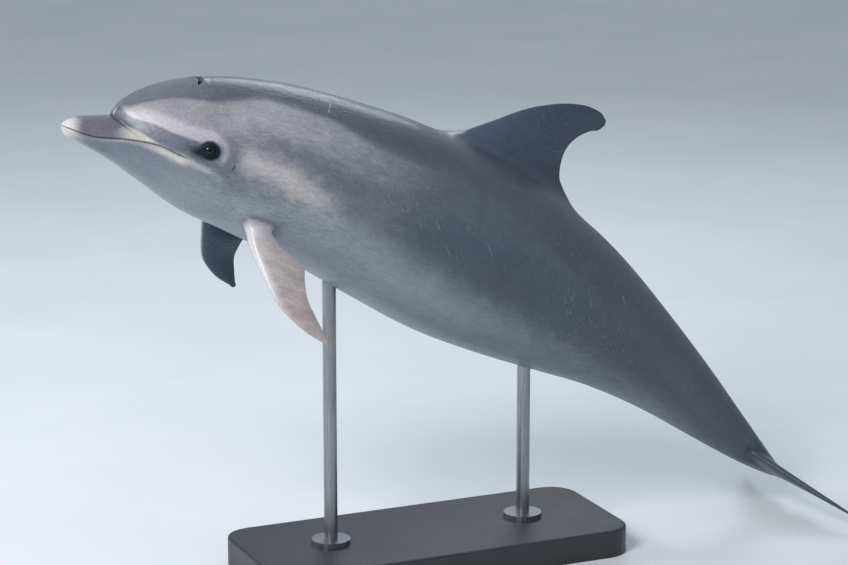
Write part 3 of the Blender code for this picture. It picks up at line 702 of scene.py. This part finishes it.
# Markings, and painted light and shade, symmetric about the middle. Lines are (share of the length, height
# above the body's axis).
markings = {
    "capeEdge": [
        (0.0475, 0.019), (0.0502, 0.0212), (0.0556, 0.0256), (0.0648, 0.0325), (0.0745, 0.0385),
        (0.0843, 0.0432), (0.1008, 0.0502), (0.1401, 0.0557), (0.157, 0.0609), (0.1749, 0.0675),
        (0.1897, 0.0715), (0.2548, 0.0716), (0.2913, 0.0646), (0.335, 0.0615), (0.3878, 0.064),
        (0.43, 0.062), (0.5, 0.046), (0.6, 0.022), (0.7, 0.004), (0.8, -0.008), (1.0, -0.02)],
    "stripeTop": [(0.0545, 0.0214), (0.0654, 0.0193), (0.0827, 0.0188), (0.1027, 0.0146), (0.1298, 0.0118)],
    "stripeLow": [
        (0.056, 0.0151), (0.0713, 0.0087), (0.0919, 0.0002), (0.1053, -0.0006), (0.1267, -0.0063)],
    "browTop": [(0.0545, 0.025), (0.0757, 0.0317), (0.0946, 0.0296), (0.1146, 0.0262), (0.1418, 0.025)],
    "wedgeTop": [
        (0.04, -0.002), (0.048, 0.003), (0.058, 0.0092), (0.068, 0.0092), (0.0776, 0.0058),
        (0.0919, 0.0002), (0.104, -0.0042)],
    "bellyEdge": [
        (0.0, -0.013), (0.05, -0.015), (0.11, -0.02), (0.16, -0.028), (0.22, -0.025), (0.29, -0.021),
        (0.33, -0.028), (0.37, -0.037), (0.43, -0.044), (0.5, -0.05), (0.6, -0.05), (0.7, -0.045),
        (0.8, -0.036), (0.9, -0.028), (1.0, -0.02)],
    "cheekStreak": [
        (0.1127, -0.0042), (0.1197, -0.0082), (0.1281, -0.0118), (0.1366, -0.013), (0.1474, -0.0156),
        (0.1593, -0.0216)],
    "blaze": [
        (0.17, 0.007), (0.19, 0.004), (0.22, 0.001), (0.239, -0.007), (0.268, -0.013), (0.3, -0.022)],
    # half the width over which the colour changes at each line, in metres
    "softness": {"capeEdge": 0.004, "stripeTop": 0.0035, "stripeLow": 0.0035, "browTop": 0.012,
                 "wedgeTop": 0.0035, "bellyEdge": 0.045},
    # where along the length a marking or a painted light or shade comes in, is whole, begins to fade and is
    # gone
    "stretches": {
        "capeHead": (-2, -1, 0.1, 0.17), "shoulderLight": (0.1, 0.165, 0.2, 0.4),
        "melonSide": (-2, -1, 0.14, 0.2), "blaze": (-2, -1, 0.235, 0.305), "stripe": (-2, -1, 0.128, 0.15),
        "brow": (0.052, 0.06, 0.135, 0.152), "wedge": (0.04, 0.06, 0.09, 0.108),
        "jaw": (0.01, 0.035, 0.08, 0.15), "lowerLip": (0.02, 0.05, 2, 3),
        "cheekStreak": (-2, -1, 0.138, 0.166), "wrinkles": (0.1, 0.155, 0.26, 0.42),
        "flankLow": (0.31, 0.4, 2, 3), "flankRear": (0.3, 0.44, 2, 3), "tail": (0.78, 0.93, 2, 3),
        "finFront": (-2, -1, 0.415, 0.52),
    },
    "eyePatchAt": (0.1388, 0.006), "eyePatchSize": (0.0104, 0.01), "eyePatchEdge": (0.84, 1.16),
    "smearAt": (0.13, 0.0026), "smearSize": (0.0125, 0.0072), "smearStrength": 1.1,
    "ringReach": 0.0158, "ringWidth": 0.0034, "ringStrength": 0.6,
    # straight lines, the ear's on both sides and the others on the left: both ends, and their strength
    "earSlit": [((0.1655, 0.0, -0.0026), (0.1644, 0.0, -0.0072), 0.85)],
    "scratches": [((0.2535, -0.0461, 0.0752), (0.2568, -0.036, 0.0822), 0.7),
                  ((0.2568, -0.036, 0.0822), (0.269, -0.0148, 0.0906), 0.6),
                  ((0.2176, -0.0436, 0.0722), (0.2295, -0.0531, 0.0644), 0.35)],
    "darkLines": [((0.37, -0.0883, 0.001), (0.3885, -0.0879, -0.019), 0.55),
                  ((0.3856, -0.0876, 0.0085), (0.403, -0.0887, -0.01), 0.55),
                  ((0.403, -0.0872, 0.0125), (0.415, -0.0885, 0.001), 0.55)],
}


def follow(name):
    # the height of a marking's line beside each vertex
    return np.interp(share, *np.array(markings[name]).T)


def feather(distance, width):
    # 0 to 1 across an edge, with the distance and the edge's half width in metres
    return step(-width, width, distance)


def above(name, softer=0.0):
    return feather((high - follow(name)) * length, markings["softness"][name] + softer)


def below(name, softer=0.0):
    return feather((follow(name) - high) * length, markings["softness"][name] + softer)


def along(name):
    return fades(*markings["stretches"][name])


def stroke(name, halfWidth, fade):
    # a soft brush stroke along a marking's line
    line = np.array(markings[name])
    reach = np.full(len(share), 9.0)
    for a, b in zip(line[:-1], line[1:]):
        way = b - a
        t = np.clip(((share - a[0]) * way[0] + (high - a[1]) * way[1]) / np.sum(way ** 2), 0, 1)
        reach = np.minimum(reach, np.hypot(share - a[0] - t * way[0], high - a[1] - t * way[1]))
    return np.exp(-(reach / halfWidth) ** 2) * step(line[0][0] - fade, line[0][0] + fade, share)


def ovalReach(at, size):
    # how far each vertex is from an oval's middle: 1 on its edge
    return np.hypot((share - at[0]) / size[0], (high - at[1]) / size[1])


onBody = 1 - step(0.05, 0.55, notes["fin"])
onHead = onBody * (share < 0.2)
onBeak = share < 0.1
overLip = feather(lipHeight, 0.0012)
melon = feather(creaseGap, 0.0022)
underCape = follow("capeEdge") - high
upSide = np.abs(straight[:, 1]) / length / smooth(body["halfWidth"], np.clip(share, 0, 1))
patchAt = markings["eyePatchAt"]
patch = 1 - step(*markings["eyePatchEdge"], ovalReach(patchAt, markings["eyePatchSize"]))
smear = markings["smearStrength"] * np.exp(-ovalReach(markings["smearAt"], markings["smearSize"]) ** 2)
# the pale ring goes round the eye from below and behind it to above it
ringTurn = np.degrees(np.arctan2(high - patchAt[1], share - patchAt[0]))
ring = bump(ovalReach(patchAt, (1, 1)), markings["ringReach"], markings["ringWidth"])
ring = ring * step(-55, -15, ringTurn) * (1 - step(95, 135, ringTurn)) * onHead
stripe = below("stripeTop") * above("stripeLow") * feather((share - 0.053) * length, 0.006)
brow = below("browTop") * above("stripeTop") * melon * along("brow")
gapeward = step(0.06, 0.1, share)
isFlipper = notes["flipper"] > 0
onFlipper = step(0.09, 0.2, notes["flipper"])
outerFace = np.sin(notes["turn"]) * np.sign(straight[:, 1])
onOuter = onFlipper * (outerFace > 0)
leadingEdge = step(0.62, 0.97, np.cos(notes["turn"]))
flipperRoot = (outerFace > 0) * (1 - step(0.08, 0.42, notes["flipper"]))
masks = {
    # painted reflection: the cape painted lighter over the top of the head, as where the sky is reflected
    "capeHead": above("capeEdge") * melon * along("capeHead"),
    "cape": above("capeEdge", 0.012 * step(0.14, 0.3, share)) * np.maximum(melon, ~onBeak),
    "belly": below("bellyEdge", 0.02 * step(0.3, 0.42, share)) * onBody,
    "shoulderLight": step(0.0, 0.006, underCape) * (1 - step(0.02, 0.052, underCape))
    * along("shoulderLight"),
    "melonSide": melon * step(0.0, 0.004, underCape) * (1 - 0.75 * step(0.115, 0.15, share))
    * above("stripeTop", 0.0005) * along("melonSide"),
    "blaze": stroke("blaze", 0.015, 0.012) * along("blaze") * onBody,
    "stripe": stripe * along("stripe") * onHead,
    "brow": brow * onHead + markings["ringStrength"] * ring,
    "wedge": below("wedgeTop") * overLip * along("wedge"),
    "beak": (1 - melon) * overLip * onBeak
    * (1 - step(0.043, 0.072, share) * feather((0.008 - high) * length, 0.01)),
    "beakTip": 1 - step(0.004, 0.02 + 0.006 * (lipHeight < 0), share),
    # painted shade: a dark line along the mouth's groove between the lips
    "lipLine": bump(lipHeight, 0, 0.0015) * mouthOn,
    "lowerLip": bump(lipHeight, -0.0056 - 0.005 * gapeward, 0.0036 + 0.0074 * gapeward) * mouthOn
    * (0.45 + 0.55 * step(0.07, 0.105, share)) * along("lowerLip"),
    "cheekStreak": stroke("cheekStreak", 0.0034, 0.004) * along("cheekStreak") * onHead,
    "eyePatch": np.maximum(patch, smear) * onHead,
    # painted shade: a dark line in the crease at the melon's edge, with a fainter dark line a little behind
    # it
    "crease": np.maximum(bump(creaseGap, 0.0008, 0.0034), 0.55 * bump(creaseGap, 0.0115, 0.0022))
    * step(0.3, 0.8, upTurn) * onBeak * overLip,
    # painted shade: the sides of the lower jaw painted darker and bluer, as in shade
    "jaw": feather(-lipHeight - 0.012, 0.012) * step(0.3, 0.75, upSide) * along("jaw") * onHead,
    # darker low on the flank behind the shoulder: partly the skin's own darker flank, partly painted shade on
    # the downward-facing flank
    "flankLow": (1 - step(-0.012, 0.045, high)) * along("flankLow") * onBody,
    "flankRear": along("flankRear"),
    "wrinkles": step(-0.016, 0.01, underCape) * along("wrinkles") * onBody,
    "tail": along("tail"),
    "fin": step(0.15, 0.85, notes["fin"]) * ~isFlipper,
    # painted reflection: the front of the dorsal fin painted lighter and bluer, as where the sky is reflected
    "finFront": step(0.15, 0.6, notes["fin"]) * along("finFront") * ~isFlipper,
    # painted light and shade on the flippers: the outer faces painted pale as where light falls on them, the
    # inner faces painted dark blue-grey as in shade
    "flipperOuterLit": onOuter,
    "flipperInnerShaded": onFlipper * (outerFace <= 0),
    "flipperTip": onOuter * step(0.3, 0.95, notes["flipper"]),
    "flipperBlotch": onOuter * (0.22 + 0.28 * step(0.25, 0.75, notes["flipper"])),
    # the leading edge and root of the outer face painted pale: partly the flipper's own pale edge, partly a
    # painted highlight where light catches the edge
    "flipperFrontPaleAndHighlight": onFlipper * step(-0.5, 0.0, outerFace) * np.maximum(leadingEdge, flipperRoot)
    * (1 - step(0.5, 0.9, notes["flipper"])),
    # painted shade: dark on the blowhole's inner lips and down the walls of its slit
    "blowhole": step(0.7, 1.2, notes["blow"]),
    # painted shade: darker along the grooves of the genital slit, the vent and the navel
    "slits": slit + vent + 0.6 * navel,
}


def keepValues(mesh, name, kind, values):
    field = "value" if kind == "FLOAT" else "vector"
    mesh.attributes.new(name, kind, "POINT").data.foreach_set(field, np.array(values, np.float32).ravel())


for name, values in masks.items():
    keepValues(skinMesh, name, "FLOAT", np.clip(values, 0, 1))
keepValues(skinMesh, "straight", "FLOAT_VECTOR", straight)
print("skin marked:", len(masks), "masks")


# Materials
def shade(red, green, blue):
    # a colour as seen on screen, 0 to 255, in the shader's linear values
    parts = np.array([red, green, blue]) / 255
    return tuple(np.where(parts > 0.04045, ((parts + 0.055) / 1.055) ** 2.4, parts / 12.92)) + (1.0,)


def newMaterial(name):
    # its tree is the one that the functions below add their nodes to
    global tree
    made = bpy.data.materials.new(name)
    made.use_nodes = True
    tree = made.node_tree
    return made, tree.nodes["Principled BSDF"]


def feed(node, inputs):
    # inputs are (socket, value or the socket it is joined to)
    for socket, value in inputs:
        if isinstance(value, bpy.types.NodeSocket):
            node.id_data.links.new(value, node.inputs[socket])
        else:
            node.inputs[socket].default_value = value


def put(kind, inputs=(), **settings):
    node = tree.nodes.new("ShaderNode" + kind)
    for key, value in settings.items():
        setattr(node, key, value)
    feed(node, inputs)
    return node


def blend(amount, first, second, mode="MIX"):
    mixed = put("Mix", [(0, amount), (6, first), (7, second)], data_type="RGBA", blend_type=mode)
    return mixed.outputs[2]


def sums(operation, first, second, limited=False):
    return put("Math", [(0, first), (1, second)], operation=operation, use_clamp=limited).outputs[0]


def plus(first, second, limited=False):
    return sums("ADD", first, second, limited)


def times(first, second):
    return sums("MULTIPLY", first, second)


def swing(noise, amount):
    # a noise as a push up or down
    return times(sums("SUBTRACT", noise, 0.5), amount)


def vectors(operation, first, second=(0, 0, 0)):
    single = operation in ("LENGTH", "DISTANCE", "DOT_PRODUCT")
    return put("VectorMath", [(0, first), (1, second)], operation=operation).outputs[int(single)]


def scaled(vector, amount):
    return put("VectorMath", [(0, vector), (3, amount)], operation="SCALE").outputs[0]


def ranged(value, low, high, toLow=0.0, toHigh=1.0):
    return put("MapRange", [(0, value), (1, low), (2, high), (3, toLow), (4, toHigh)],
               interpolation_type="SMOOTHSTEP").outputs[0]


def grain(coordinates, scale, detail=3.0, roughness=0.55, stretch=(1, 1, 1), waver=0.0):
    placed = put("Mapping", [(0, coordinates), (3, stretch)]).outputs[0]
    settings = [(0, placed), (2, scale), (3, detail), (4, roughness), ("Distortion", waver)]
    return put("TexNoise", settings).outputs[0]


def kept(name, vector=False):
    # one of the values kept with the mesh
    return put("Attribute", attribute_name=name).outputs[1 if vector else 2]


def relieved(height, strength, distance):
    return put("Bump", [("Strength", strength), ("Distance", distance), ("Height", height)]).outputs[0]


def buildFinish(name, look):
    # two shades in a cloud, a third one in spots over them, and a fine relief
    made, shader = newMaterial(name)
    where = put("TexCoord").outputs["Object"]
    cloud = grain(where, *look["cloud"])
    colour = blend(ranged(cloud, *look["cloudRange"]), *look["shades"])
    spots = ranged(grain(where, *look["spots"]), *look["spotRange"])
    fine = grain(where, *look["fine"])
    feed(shader, [
        ("Base Color", blend(spots, colour, look["spotColour"])), ("Metallic", look["metal"]),
        ("Roughness", ranged(cloud, *look["gloss"])),
        ("Normal", relieved(fine, *look["relief"]))])
    return made


skinLook = {
    "flank": shade(104, 109, 121),
    "layers": [  # mask, colour, strength, how ragged its edge is
        ("flankRear", (86, 93, 107), 0.95, 0.45),
        ("flankLow", (68, 76, 92), 0.75, 0.4),
        # the pale belly, painted greyer and bluer than its own colour: partly painted shade
        ("belly", (134, 145, 154), 0.95, 0.4),
        ("jaw", (102, 116, 129), 0.6, 0.5),
        ("shoulderLight", (166, 168, 174), 0.85, 0.55),
        ("melonSide", (148, 147, 154), 0.95, 0.2),
        ("blaze", (186, 184, 184), 0.85, 0.5),
        ("cape", (82, 86, 101), 0.95, 0.55),
        ("capeHead", (112, 116, 128), 0.8, 0.3),
        ("cheekStreak", (168, 176, 180), 0.75, 0.35),
        ("wedge", (190, 190, 182), 0.9, 0.15),
        ("stripe", (104, 112, 126), 0.92, 0.2),
        ("brow", (182, 180, 188), 0.9, 0.2),
        ("beak", (106, 104, 120), 0.95, 0.2),
        ("crease", (46, 48, 58), 0.85, 0.2),
        ("lowerLip", (202, 202, 196), 0.85, 0.15),
        ("beakTip", (206, 208, 206), 0.92, 0.3),
        ("lipLine", (52, 56, 62), 0.85, 0.1),
        ("tail", (70, 78, 95), 0.75, 0.3),
        ("fin", (60, 69, 87), 0.92, 0.25),
        ("finFront", (84, 94, 114), 0.7, 0.4),
        ("flipperInnerShaded", (12, 46, 70), 0.95, 0.2),
        ("flipperOuterLit", (196, 188, 186), 0.94, 0.3),
        ("flipperTip", (172, 162, 162), 0.8, 0.6),
        ("flipperBlotch", (156, 144, 145), 0.75, 1.4),
        ("flipperFrontPaleAndHighlight", (212, 216, 218), 0.78, 0.3),
        # the dark patch round the eye, with a blue tint that is a painted reflection
        ("eyePatch", (2, 22, 38), 0.97, 0.3),
        ("slits", (70, 70, 82), 0.8, 0.1),
        ("blowhole", (22, 26, 34), 0.95, 0.0),
    ],
    # noises: scale, detail, roughness, stretch along, across and up, and how much the lines waver
    "broad": (3.2, 4.0, 0.55, (1.0, 1.6, 1.6)),
    "mottle": (17.0, 5.0, 0.62, (1.0, 1.5, 1.5)),
    "freckle": (120.0, 3.0, 0.6, (1.0, 1.3, 1.3)),
    "ragged": (34.0, 5.0, 0.68, (0.55, 1.4, 1.4)),
    "ripple": (34.0, 2.0, 0.5, (1.0, 4.2, 4.2), 0.7),
    "pores": (420.0, 2.0, 0.5),
    "warmth": 0.16, "warmColour": shade(150, 140, 156),
    "mottling": 0.46, "freckling": 0.4,
    "rippling": (0.24, 0.22),  # painted shade and sheen of the fine ripples: everywhere, and more of it on the neck
    "rippleRelief": (0.8, 2.2), "poreRelief": 0.1, "scratchRelief": 0.4,
    "relief": (0.6, 0.0024),  # strength, and depth in metres
    # straight lines: colour, and how far from their middle they are whole and gone
    "scratches": (shade(190, 194, 200), (0.0004, 0.0024)),
    "darkLines": (shade(36, 42, 54), (0.0006, 0.003)),
    "earSlit": (shade(38, 44, 54), (0.0004, 0.0042)),
    # old tooth rakes: two sets, each with its lean and its place in the noise
    "rakes": [(0.3, (0, 0, 0)), (-0.75, (3.1, 0, 1.7))],
    "rakeNoise": (6.0, 1.0, 0.4, (1.0, 46.0, 46.0)), "rakeFrom": (0.67, 0.73),
    "rakePatches": (2.6, 1.0, 0.5), "rakePatchFrom": (0.52, 0.68), "rakeStrength": 0.2,
    "gloss": (0.34, 0.52), "coat": 0.22, "coatGloss": 0.16, "shine": (0.16, 0.5), "ior": 1.42,
}


def segmentReach(point, start, end):
    # how far each place of the skin is from a straight scratch, whose ends are shares of the length
    start, end = [[value * length for value in place] for place in (start, end)]
    way = [b - a for a, b in zip(start, end)]
    span = sum(w * w for w in way)
    away = vectors("SUBTRACT", point, start)
    share = vectors("DOT_PRODUCT", away, [w / span for w in way])
    onLine = scaled(way, put("Clamp", [(0, share)]).outputs[0])
    return vectors("DISTANCE", away, onLine)


def layColours(where):
    # the flank's colour with every marking, painted light and painted shade laid over it in turn
    ragged = grain(where, *skinLook["ragged"])
    colour = skinLook["flank"]
    for name, tint, strength, rough in skinLook["layers"]:
        mask = kept(name)
        if rough:
            # the noise pushes the edge about where the mask is part way, and leaves its ends alone
            shift = swing(ragged, rough * 2.4)
            middle = times(times(mask, sums("SUBTRACT", 1.0, mask)), 4.0)
            mask = plus(mask, times(shift, middle), True)
        colour = blend(times(mask, strength), colour, shade(*tint))
    warm = ranged(grain(where, *skinLook["broad"]), 0.35, 0.65)
    return blend(times(warm, skinLook["warmth"]), colour, skinLook["warmColour"], "OVERLAY")


def drawLines(where, name):
    # how strongly a marking's straight lines show at each place
    drawn = 0.0
    for start, end, strength in markings[name]:
        line = ranged(segmentReach(where, start, end), *skinLook[name][1], strength, 0.0)
        drawn = sums("MAXIMUM", drawn, line)
    return drawn


def drawScratches(where, bare):
    # how scratched each place is, but never on the dark patch round the eye
    scarred = drawLines(where, "scratches")
    for lean, place in skinLook["rakes"]:
        turned = put("Mapping", [(0, where), (1, place), (2, (0, lean, 0))]).outputs[0]
        streaks = ranged(grain(turned, *skinLook["rakeNoise"]), *skinLook["rakeFrom"])
        patches = grain(turned, *skinLook["rakePatches"])
        patches = ranged(patches, *skinLook["rakePatchFrom"], 0.0, skinLook["rakeStrength"])
        scarred = sums("MAXIMUM", scarred, times(streaks, patches))
    return times(scarred, bare)


def buildSkinMaterial():
    made, shader = newMaterial("dolphinSkin")
    where = kept("straight", True)
    neck = kept("wrinkles")
    bare = sums("SUBTRACT", 1.0, kept("eyePatch"), True)
    mottle = grain(where, *skinLook["mottle"])
    freckle = grain(where, *skinLook["freckle"])
    ripple = grain(where, *skinLook["ripple"])
    pores = grain(where, *skinLook["pores"])
    # painted shade and sheen: the colour lighter and darker along the same ripples as the relief
    everywhere, onNeck = skinLook["rippling"]
    lightness = plus(swing(mottle, skinLook["mottling"]), 1.0)
    lightness = plus(lightness, swing(freckle, skinLook["freckling"]))
    lightness = plus(lightness, swing(ripple, plus(everywhere, times(neck, onNeck))))
    colour = scaled(layColours(where), lightness)
    scarred = drawScratches(where, bare)
    colour = blend(scarred, colour, skinLook["scratches"][0])
    colour = blend(drawLines(where, "darkLines"), colour, skinLook["darkLines"][0])
    # the ears are on both sides, so their slit is drawn on the skin's profile
    profile = vectors("MULTIPLY", where, (1, 0, 1))
    colour = blend(drawLines(profile, "earSlit"), colour, skinLook["earSlit"][0])
    # fine ripples along the body, deepest on the neck and the shoulder, with pores and scratches
    everywhere, onNeck = skinLook["rippleRelief"]
    height = times(ripple, plus(everywhere, times(neck, onNeck)))
    height = plus(height, times(pores, skinLook["poreRelief"]))
    height = sums("SUBTRACT", height, times(scarred, skinLook["scratchRelief"]))
    # the dark patch round the eye keeps little shine
    feed(shader, [
        ("Base Color", colour), ("Normal", relieved(height, *skinLook["relief"])),
        ("Roughness", ranged(mottle, 0.3, 0.7, *skinLook["gloss"])),
        ("Coat Weight", times(bare, skinLook["coat"])), ("Coat Roughness", skinLook["coatGloss"]),
        ("Specular IOR Level", ranged(bare, 0.0, 1.0, *skinLook["shine"])), ("IOR", skinLook["ior"])])
    return made


skinMesh.materials.append(buildSkinMaterial())
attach(skin, "root")
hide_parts(*[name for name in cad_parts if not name.startswith(("stand_", "eye_"))])
print("skin painted")

# Eyeballs: dark glossy balls with a brown iris and a wide pupil
eyeLook = {
    "segments": 64,
    "rings": 40,
    "pupil": (0.4, 0.26),  # half sizes along and up, as shares of the ball's radius
    "iris": 0.66,
    "pupilColour": shade(3, 4, 7),
    "irisColour": shade(26, 21, 20),
    "threadColour": shade(42, 34, 28),
    "rimColour": shade(14, 14, 18),
    "gloss": (0.05, 0.1),
    "relief": (0.05, 0.0004),
    "ior": 1.38,
}


def buildEyeMaterial():
    made, shader = newMaterial("wetEye")
    gaze = kept("gaze", True)
    flat = vectors("MULTIPLY", gaze, (1, 1, 0))
    reach = vectors("LENGTH", flat)
    wide, tall = eyeLook["pupil"]
    squashed = vectors("MULTIPLY", flat, (1 / wide, 1 / tall, 0))
    pupil = ranged(vectors("LENGTH", squashed), 0.9, 1.1, 1.0, 0.0)
    threads = grain(gaze, 9.0, 4.0, 0.6)
    iris = blend(ranged(threads, 0.3, 0.7), eyeLook["irisColour"], eyeLook["threadColour"])
    outside = ranged(reach, eyeLook["iris"] - 0.06, eyeLook["iris"] + 0.08)
    colour = blend(outside, iris, eyeLook["rimColour"])
    colour = blend(pupil, colour, eyeLook["pupilColour"])
    feed(shader, [
        ("Base Color", colour), ("Roughness", ranged(threads, 0.2, 0.8, *eyeLook["gloss"])),
        ("Normal", relieved(threads, *eyeLook["relief"])), ("IOR", eyeLook["ior"])])
    return made


def buildEyeball(name, ball, normal, long):
    # a ball whose poles look straight out and straight in
    centre = bend(ball)
    outer = unit(bend(ball + normal * eye["radius"]) - centre)
    front = bend(ball + long * eye["radius"]) - centre
    front = unit(front - outer * np.dot(front, outer))
    up = np.cross(front, outer)
    up = up * np.sign(up[2])
    globe = bmesh.new()
    bmesh.ops.create_uvsphere(globe, u_segments=eyeLook["segments"], v_segments=eyeLook["rings"], radius=1)
    gaze = np.array([corner.co for corner in globe.verts])
    ballFaces = [[corner.index for corner in face.verts] for face in globe.faces]
    globe.free()
    points = centre + eye["radius"] * gaze @ np.stack([front, up, outer])
    mesh = makeMesh("eyeball_" + name, points, ballFaces)
    keepValues(mesh, "gaze", "FLOAT_VECTOR", gaze)
    mesh.materials.append(eyeMaterial)
    made = link("eyeball_" + name, mesh)
    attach(made, "root")
    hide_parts("eye_" + name)


eyeMaterial = buildEyeMaterial()
for name, spot in eyes.items():
    buildEyeball(name, *spot[1:])
print("eyes set")

# Display stand: the solids keep their shape and get their finish here
standLook = {
    "satinPaint": {
        "shades": (shade(40, 41, 45), shade(47, 48, 53)), "cloud": (6.0, 4.0, 0.6), "cloudRange": (0.3, 0.7),
        "spotColour": shade(92, 92, 94), "spots": (700.0, 2.0, 0.6), "spotRange": (0.7, 0.78, 0.0, 0.35),
        "fine": (260.0, 2.0, 0.5), "relief": (0.18, 0.0005), "gloss": (0.3, 0.7, 0.33, 0.47), "metal": 0.0},
    "brushedSteel": {
        "shades": (shade(168, 170, 174), shade(132, 134, 139)), "cloud": (900.0, 3.0, 0.6, (1.0, 1.0, 0.012)),
        "cloudRange": (0.25, 0.75), "spotColour": shade(118, 118, 120), "spots": (12.0, 4.0, 0.6),
        "spotRange": (0.45, 0.75, 0.0, 0.3), "fine": (900.0, 3.0, 0.6, (1.0, 1.0, 0.012)),
        "relief": (0.25, 0.0003), "gloss": (0.2, 0.8, 0.26, 0.42), "metal": 1.0},
}
finishes = {name: buildFinish(name, look) for name, look in standLook.items()}
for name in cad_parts:
    if name.startswith("stand_"):
        coats = bpy.data.objects[name].data.materials
        coats.clear()
        coats.append(finishes["satinPaint" if name == "stand_base" else "brushedSteel"])
print("stand finished")

# Room: a pale floor, soft light and the camera
room = {
    "floorHalf": 60.0,
    "floorColour": shade(238, 240, 243),
    "floorCloud": shade(232, 235, 238),
    "floorGloss": (0.62, 0.74),
    "skyColour": (0.8, 0.88, 1.0, 1.0),
    "skyStrength": 0.42,
    "lights": [  # name, place, watts, size, colour
        ("keyLight", (-4.3, -3.1, 4.9), 290.0, 2.4, (1.0, 0.97, 0.93)),
        ("frontLight", (-4.6, 3.6, 3.4), 120.0, 1.8, (0.9, 0.95, 1.0)),
        ("rimLight", (2.6, 4.2, 4.6), 80.0, 3.0, (0.84, 0.93, 1.0)),
    ],
    "lightAim": (-0.2, 0.0, 0.95),
    "cameraAim": (-0.013, 0.0, 0.8076),
    "azimuth": -24.0,
    "elevation": 13.5,
    "distance": 8.0,
    "sensor": 36.0,
    "lens": 121.24,
}


def lookAt(thing, place, aim):
    way = np.array(aim, float) - np.array(place, float)
    level = math.hypot(way[0], way[1])
    thing.location = place
    thing.rotation_euler = (math.atan2(level, -way[2]), 0.0, math.atan2(-way[0], way[1]))


def buildFloor():
    half = room["floorHalf"]
    corners = [(-half, -half, 0), (half, -half, 0), (half, half, 0), (-half, half, 0)]
    mesh = bpy.data.meshes.new("floor")
    mesh.from_pydata(corners, [], [(0, 1, 2, 3)])
    made, shader = newMaterial("paleFloor")
    where = put("TexCoord").outputs["Object"]
    cloud = ranged(grain(where, 1.1, 4.0, 0.55), 0.3, 0.7)
    fine = grain(where, 160.0, 2.0, 0.6)
    feed(shader, [("Base Color", blend(cloud, room["floorColour"], room["floorCloud"])),
                  ("Roughness", ranged(fine, 0.3, 0.7, *room["floorGloss"]))])
    mesh.materials.append(made)
    link("floor", mesh)


def buildLights():
    for name, place, watts, size, tint in room["lights"]:
        lamp = bpy.data.lights.new(name, "AREA")
        lamp.energy = watts
        lamp.shape = "DISK"
        lamp.size = size
        lamp.color = tint
        lookAt(link(name, lamp), place, room["lightAim"])
    world = bpy.data.worlds.new("studio")
    world.use_nodes = True
    sky = world.node_tree.nodes["Background"]
    feed(sky, [("Color", room["skyColour"]), ("Strength", room["skyStrength"])])
    bpy.context.scene.world = world


def buildCamera():
    camera = bpy.data.cameras.new("camera")
    camera.sensor_width = room["sensor"]
    camera.lens = room["lens"]
    camera.clip_end = 500.0
    seat = link("camera", camera)
    azimuth, elevation = math.radians(room["azimuth"]), math.radians(room["elevation"])
    away = np.array([math.sin(azimuth) * math.cos(elevation), -math.cos(azimuth) * math.cos(elevation),
                     math.sin(elevation)]) * room["distance"]
    lookAt(seat, (np.array(room["cameraAim"]) + away).tolist(), room["cameraAim"])
    bpy.context.scene.camera = seat


buildFloor()
buildLights()
buildCamera()
bpy.context.scene.view_settings.view_transform = "Standard"
print("room lit")
